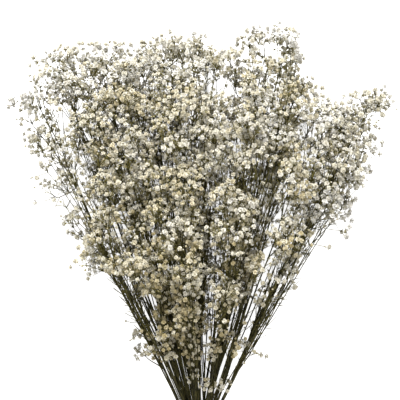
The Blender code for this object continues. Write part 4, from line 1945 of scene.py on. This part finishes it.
@dataclass
class TwineTie:
    """Three turns of plied twine round the stalks, with a knot and two tails."""

    plan: BunchPlan
    material: bpy.types.Material
    seed: int = 77
    sides: int = 6
    radius: float = 1.0 * MM
    gap: float = 0.34 * MM
    pitch: float = 2.35 * MM
    turns: int = 3
    first_turn: float = 0.25
    steps: int = 96
    plies: int = 3
    ply_radius: float = 0.52 * MM
    ply_offset: float = 0.46 * MM
    twist: float = 5.2 * MM
    tail_length: float = 22.0 * MM
    tail_root: float = 1.0 * MM
    tail_spread: float = 7.0 * MM
    tail_hump: float = 2.4 * MM
    tail_curl: float = 1.4
    tail_steps: int = 40
    knot_size: tuple = (2.5 * MM, 3.2 * MM, 0.9 * MM)
    knot_lobe: float = 0.9
    knot_reach: float = 1.6
    knot_steps: int = 90
    fray_count: int = 9
    fray_length: float = 4.0 * MM
    fray_share: tuple = (0.4, 1.0)
    fray_spread: tuple = (0.1, 0.6)
    fray_bend_in_mm: float = 0.5
    fray_radius: float = 0.07 * MM

    def wrap_line(self, stems: list[Stem]) -> list[Vector]:
        """Give the line of the turns, taut round the outermost stalks.

        Args:
            stems: All the stems.

        Returns:
            The points.
        """
        reach = self.plan.stalk_radius + self.gap + self.radius
        line = []
        for step in range(self.turns * self.steps + 1):
            turns = step / self.steps
            angle = math.tau * (turns + self.first_turn)
            facing = Vector((math.cos(angle), 0.0, math.sin(angle)))
            outer = max(stems, key=lambda stem: stem.slot.dot(facing))
            point = outer.slot + facing * reach
            point.y = self.pitch * (turns - self.turns / 2.0)
            line.append(point)
        return line

    def knot_line(self, height: float) -> list[Vector]:
        """Give the knot's line, a flat trefoil.

        Args:
            height: The height of its middle.

        Returns:
            The points.
        """
        line = []
        wide, long, high = self.knot_size
        for step in range(self.knot_steps + 1):
            angle = math.tau * step / self.knot_steps
            side = math.sin(angle) + self.knot_lobe * math.sin(2.0 * angle)
            along = math.cos(angle) - self.knot_lobe * math.cos(2.0 * angle)
            line.append(Vector((wide * side / self.knot_reach, long * along / self.knot_reach,
                                height - high * math.sin(3.0 * angle))))
        return line

    def tail_line(self, hand: float, height: float) -> list[Vector]:
        """Give the line of one loose end.

        Args:
            hand: -1 for the left one, 1 for the right one.
            height: The height of the knot's middle.

        Returns:
            The points.
        """
        line = []
        for step in range(self.tail_steps + 1):
            share = step / self.tail_steps
            side = hand * (self.tail_root + self.tail_spread * math.sin(share * self.tail_curl))
            rise = height + self.radius + self.tail_hump * math.sin(share * math.pi)
            line.append(Vector((side, -self.tail_length * share, rise)))
        return line

    def plied(self, line: list[Vector]) -> list[Tube]:
        """Twist plies round a line.

        Args:
            line: The twine's middle line.

        Returns:
            One tube for each ply.
        """
        tubes = []
        for ply in range(self.plies):
            points = []
            walked = 0.0
            for index, point in enumerate(line):
                ahead = line[min(index + 1, len(line) - 1)]
                behind = line[max(index - 1, 0)]
                heading = (ahead - behind).normalized()
                walked += (point - behind).length
                side, up = across(heading)
                angle = math.tau * (walked / self.twist + ply / self.plies)
                points.append(point + (side * math.cos(angle) + up * math.sin(angle)) * self.ply_offset)
            tubes.append(Tube(points, [self.ply_radius] * len(points), WoodPart.TWIG))
        return tubes

    def frayed(self, end: Vector, heading: Vector, draw: random.Random) -> list[Tube]:
        """Loosen a few fibres at a tail's end.

        Args:
            end: The tail's end.
            heading: Its heading.
            draw: The tie's random draw.

        Returns:
            The fibres.
        """
        tubes = []
        for number in range(self.fray_count):
            way = leaving(draw, heading, self.fray_spread)
            far = end + way * self.fray_length * draw.uniform(*self.fray_share)
            rise = draw.uniform(-self.fray_bend_in_mm, self.fray_bend_in_mm) * MM
            bend = end.lerp(far, 0.5) + Vector((0.0, 0.0, rise))
            root = end - heading * self.radius * (1.0 + number / self.fray_count)
            tubes.append(Tube([root, bend, far], [self.fray_radius] * 3, WoodPart.TWIG))
        return tubes

    def build(self, stems: list[Stem], shift: Vector) -> bpy.types.Object:
        """Build the tie.

        Args:
            stems: All the stems.
            shift: The way from the plan's origin to the solids' origin.

        Returns:
            The piece.
        """
        draw = random.Random(self.seed)
        wrap = self.wrap_line(stems)
        height = max(point.z for point in wrap) + self.radius
        tubes = self.plied(wrap) + self.plied(self.knot_line(height))
        for hand in (-1.0, 1.0):
            tail = self.tail_line(hand, height - self.radius)
            tubes += self.plied(tail)
            tubes += self.frayed(tail[-1], (tail[-1] - tail[-2]).normalized(), draw)
        form = bmesh.new()
        add_tubes(form, tubes, self.sides)
        weld(form)
        bmesh.ops.translate(form, verts=form.verts, vec=shift)
        return finish_piece("twine", form, [self.material])


@dataclass
class Studio:
    """A white floor, light from past the florets and a camera that looks straight down."""

    middle: Vector
    view: View
    sensor: float = 36.0
    floor_size: float = 1600.0
    far: float = 2000.0
    floor_colour: tuple = (0.90, 0.90, 0.89)
    floor_roughness: float = 0.9
    floor_glow: float = 0.85
    glow_colour: tuple = (1.0, 1.0, 1.0)
    # Each light's name, place from the picture's middle, side in metres and power in watts
    lights: tuple = (
        ("key", (-0.3, 1.4, 1.1), 0.6, 35.0), ("fill", (0.5, 0.4, 1.7), 1.6, 11.0),
    )
    sky: tuple = ((0.0, 0.0), (0.488, 0.0), (0.495, 0.4), (1.0, 0.63))
    sky_tint: tuple = (1.0, 0.98, 0.93)

    def build(self) -> None:
        """Build the floor, the lights, the sky and the camera."""
        self.build_floor()
        for light in self.lights:
            self.add_light(*light)
        self.build_sky()
        bpy.context.scene.view_settings.view_transform = "Standard"
        self.build_camera()

    def build_sky(self) -> None:
        """Light the world from above the floor alone."""
        world = bpy.data.worlds.new("studio")
        world.use_nodes = True
        nodes = world.node_tree.nodes
        links = world.node_tree.links
        coords = nodes.new("ShaderNodeTexCoord")
        split = nodes.new("ShaderNodeSeparateXYZ")
        links.new(coords.outputs["Generated"], split.inputs["Vector"])
        height = nodes.new("ShaderNodeMapRange")
        height.inputs["From Min"].default_value = -1.0
        links.new(split.outputs["Z"], height.inputs["Value"])
        stops = [(place, [glow * share for share in self.sky_tint]) for place, glow in self.sky]
        ramp = colour_ramp(nodes, stops)
        links.new(height.outputs["Result"], ramp.inputs["Fac"])
        links.new(ramp.outputs["Color"], nodes["Background"].inputs["Color"])
        bpy.context.scene.world = world

    def build_floor(self) -> None:
        """Lay the floor at the surface that the bunch rests on."""
        form = bmesh.new()
        bmesh.ops.create_grid(form, x_segments=1, y_segments=1, size=self.floor_size / 2.0)
        material, shader, _, _ = new_material("pale_floor")
        shader.inputs["Base Color"].default_value = (*self.floor_colour, 1.0)
        shader.inputs["Roughness"].default_value = self.floor_roughness
        shader.inputs["Emission Color"].default_value = (*self.glow_colour, 1.0)
        shader.inputs["Emission Strength"].default_value = self.floor_glow
        floor = finish_piece("floor", form, [material])
        floor.visible_diffuse = False
        floor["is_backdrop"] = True

    def add_light(self, name: str, offset: tuple, size: float, power: float) -> None:
        """Hang a soft square light that faces the bunch.

        Args:
            name: Its name.
            offset: Its place from the middle of the picture.
            size: Its side.
            power: Its power in watts.
        """
        data = bpy.data.lights.new(name, "AREA")
        data.shape = "SQUARE"
        data.size = size
        data.energy = power
        light = bpy.data.objects.new(name, data)
        light.location = self.middle + Vector(offset)
        light.rotation_euler = (-Vector(offset)).to_track_quat("-Z", "Y").to_euler()
        bpy.context.scene.collection.objects.link(light)

    def build_camera(self) -> None:
        """Hang the camera over the middle of the picture."""
        data = bpy.data.cameras.new("camera")
        data.sensor_width = self.sensor
        data.clip_end = self.far
        view = self.view
        data.lens = self.sensor * (view.camera_height - view.middle_height) / view.frame_width
        camera = bpy.data.objects.new("camera", data)
        camera.location = self.middle + Vector((0.0, 0.0, view.camera_height))
        bpy.context.scene.collection.objects.link(camera)
        bpy.context.scene.camera = camera


@dataclass
class Bunch:
    """The whole bunch: its plan, its finishes and its pieces."""

    plan: BunchPlan = field(default_factory=BunchPlan)
    view: View = field(default_factory=View)
    finer: int = 4
    fine_florets: FloretMould = field(default_factory=lambda: FloretMould(
        petal_sides=5, calyx_sides=5,
        open_rings=((5, 10.0, 1.0, 1.12, 0.0), (3, 56.0, 0.94, 1.05, 0.05)),
        ruffled_rings=((4, -8.0, 0.94, 1.3, 0.0), (3, 34.0, 1.0, 1.25, 0.02),
                       (2, 72.0, 1.05, 1.1, 0.05))))
    plain_florets: FloretMould = field(default_factory=lambda: FloretMould(
        petal_sides=3, calyx_sides=3,
        open_rings=((4, 8.0, 1.0, 1.55, 0.0), (3, 50.0, 0.95, 1.4, 0.05)),
        ruffled_rings=((4, -4.0, 0.97, 1.55, 0.0), (3, 46.0, 1.06, 1.5, 0.02))))
    barks: tuple = (
        BarkFinish("stalk_bark", (0.006, 0.0058, 0.0016), (0.085, 0.079, 0.029), 0.7, 0.6),
        BarkFinish("twig_bark", (0.012, 0.0113, 0.003), (0.12, 0.108, 0.035), 0.72, 0.4),
        BarkFinish("ray_bark", (0.05, 0.045, 0.012), (0.21, 0.185, 0.055), 0.73, 0.3),
        BarkFinish("pedicel_skin", (0.11, 0.098, 0.028), (0.30, 0.265, 0.09), 0.75, 0.2),
    )
    calyx: BarkFinish = BarkFinish(
        "calyx_skin", (0.25, 0.218, 0.075), (0.54, 0.48, 0.225), 0.75, 0.2)

    def shift(self) -> Vector:
        """Give the way from the tie's middle to the solids' origin."""
        tie_low, tie_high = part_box("tie")
        cut_low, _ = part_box("stem_mid_3")
        return Vector(((tie_low.x + tie_high.x) / 2.0, cut_low.y + self.plan.stalk_below, 0.0))

    def build(self) -> None:
        """Build every piece, and report each."""
        shift = self.shift()
        barks = tuple(finish.build() for finish in self.barks)
        petals = (PetalFinish().build(), self.calyx.build())
        moulds = {True: self.fine_florets.build(), False: self.plain_florets.build()}
        knob_moulds = KnobMould().build()
        stems = self.plan.grow(self.finer)
        Sway().apply(stems)
        airiness = Airiness(self.view, self.plan)
        FineSprays(self.plan, airiness).place(stems)
        growth = FineGrowth(stems, self.plan, Crowd(), airiness)
        total = 0
        for stem in stems:
            tubes, florets, knobs = growth.grow(stem)
            wood = WoodPiece(stem, tubes, knobs, knob_moulds, barks).build(shift)
            heads = FloretPiece(stem, florets, moulds, petals).build(shift)
            self.attach(wood, stem.name)
            self.attach(heads, stem.name)
            total += len(florets)
            LOG.info("%s: %d tubes, %d florets, %d and %d faces", stem.name, len(tubes),
                     len(florets), len(wood.data.polygons), len(heads.data.polygons))
        for group in (moulds[True], moulds[False], knob_moulds):
            for mesh in group.values():
                bpy.data.meshes.remove(mesh)
        twine = TwineTie(self.plan, JuteFinish().build()).build(stems, shift)
        self.attach(twine, "tie")
        LOG.info("%d florets in all", total)
        Studio(shift + Vector((0.0, self.view.middle_along, 0.0)), self.view).build()

    def attach(self, piece: bpy.types.Object, node: str) -> None:
        """Let a piece ride on the one body and stand for its solid.

        Args:
            piece: The piece.
            node: The solid that it replaces.
        """
        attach(piece, "root")
        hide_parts(node)


def write_sizes() -> None:
    """Gather the solids' box and the finished model's box, as plain lists."""
    boxes = {"cad": CAD_BOX, "visual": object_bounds()}
    plain = {name: [list(corner) for corner in box] for name, box in boxes.items()}


def main() -> None:
    """Build the bunch."""
    logging.basicConfig(level=logging.INFO, format="%(message)s")
    Bunch().build()
    write_sizes()


if __name__ == "__main__":
    main()
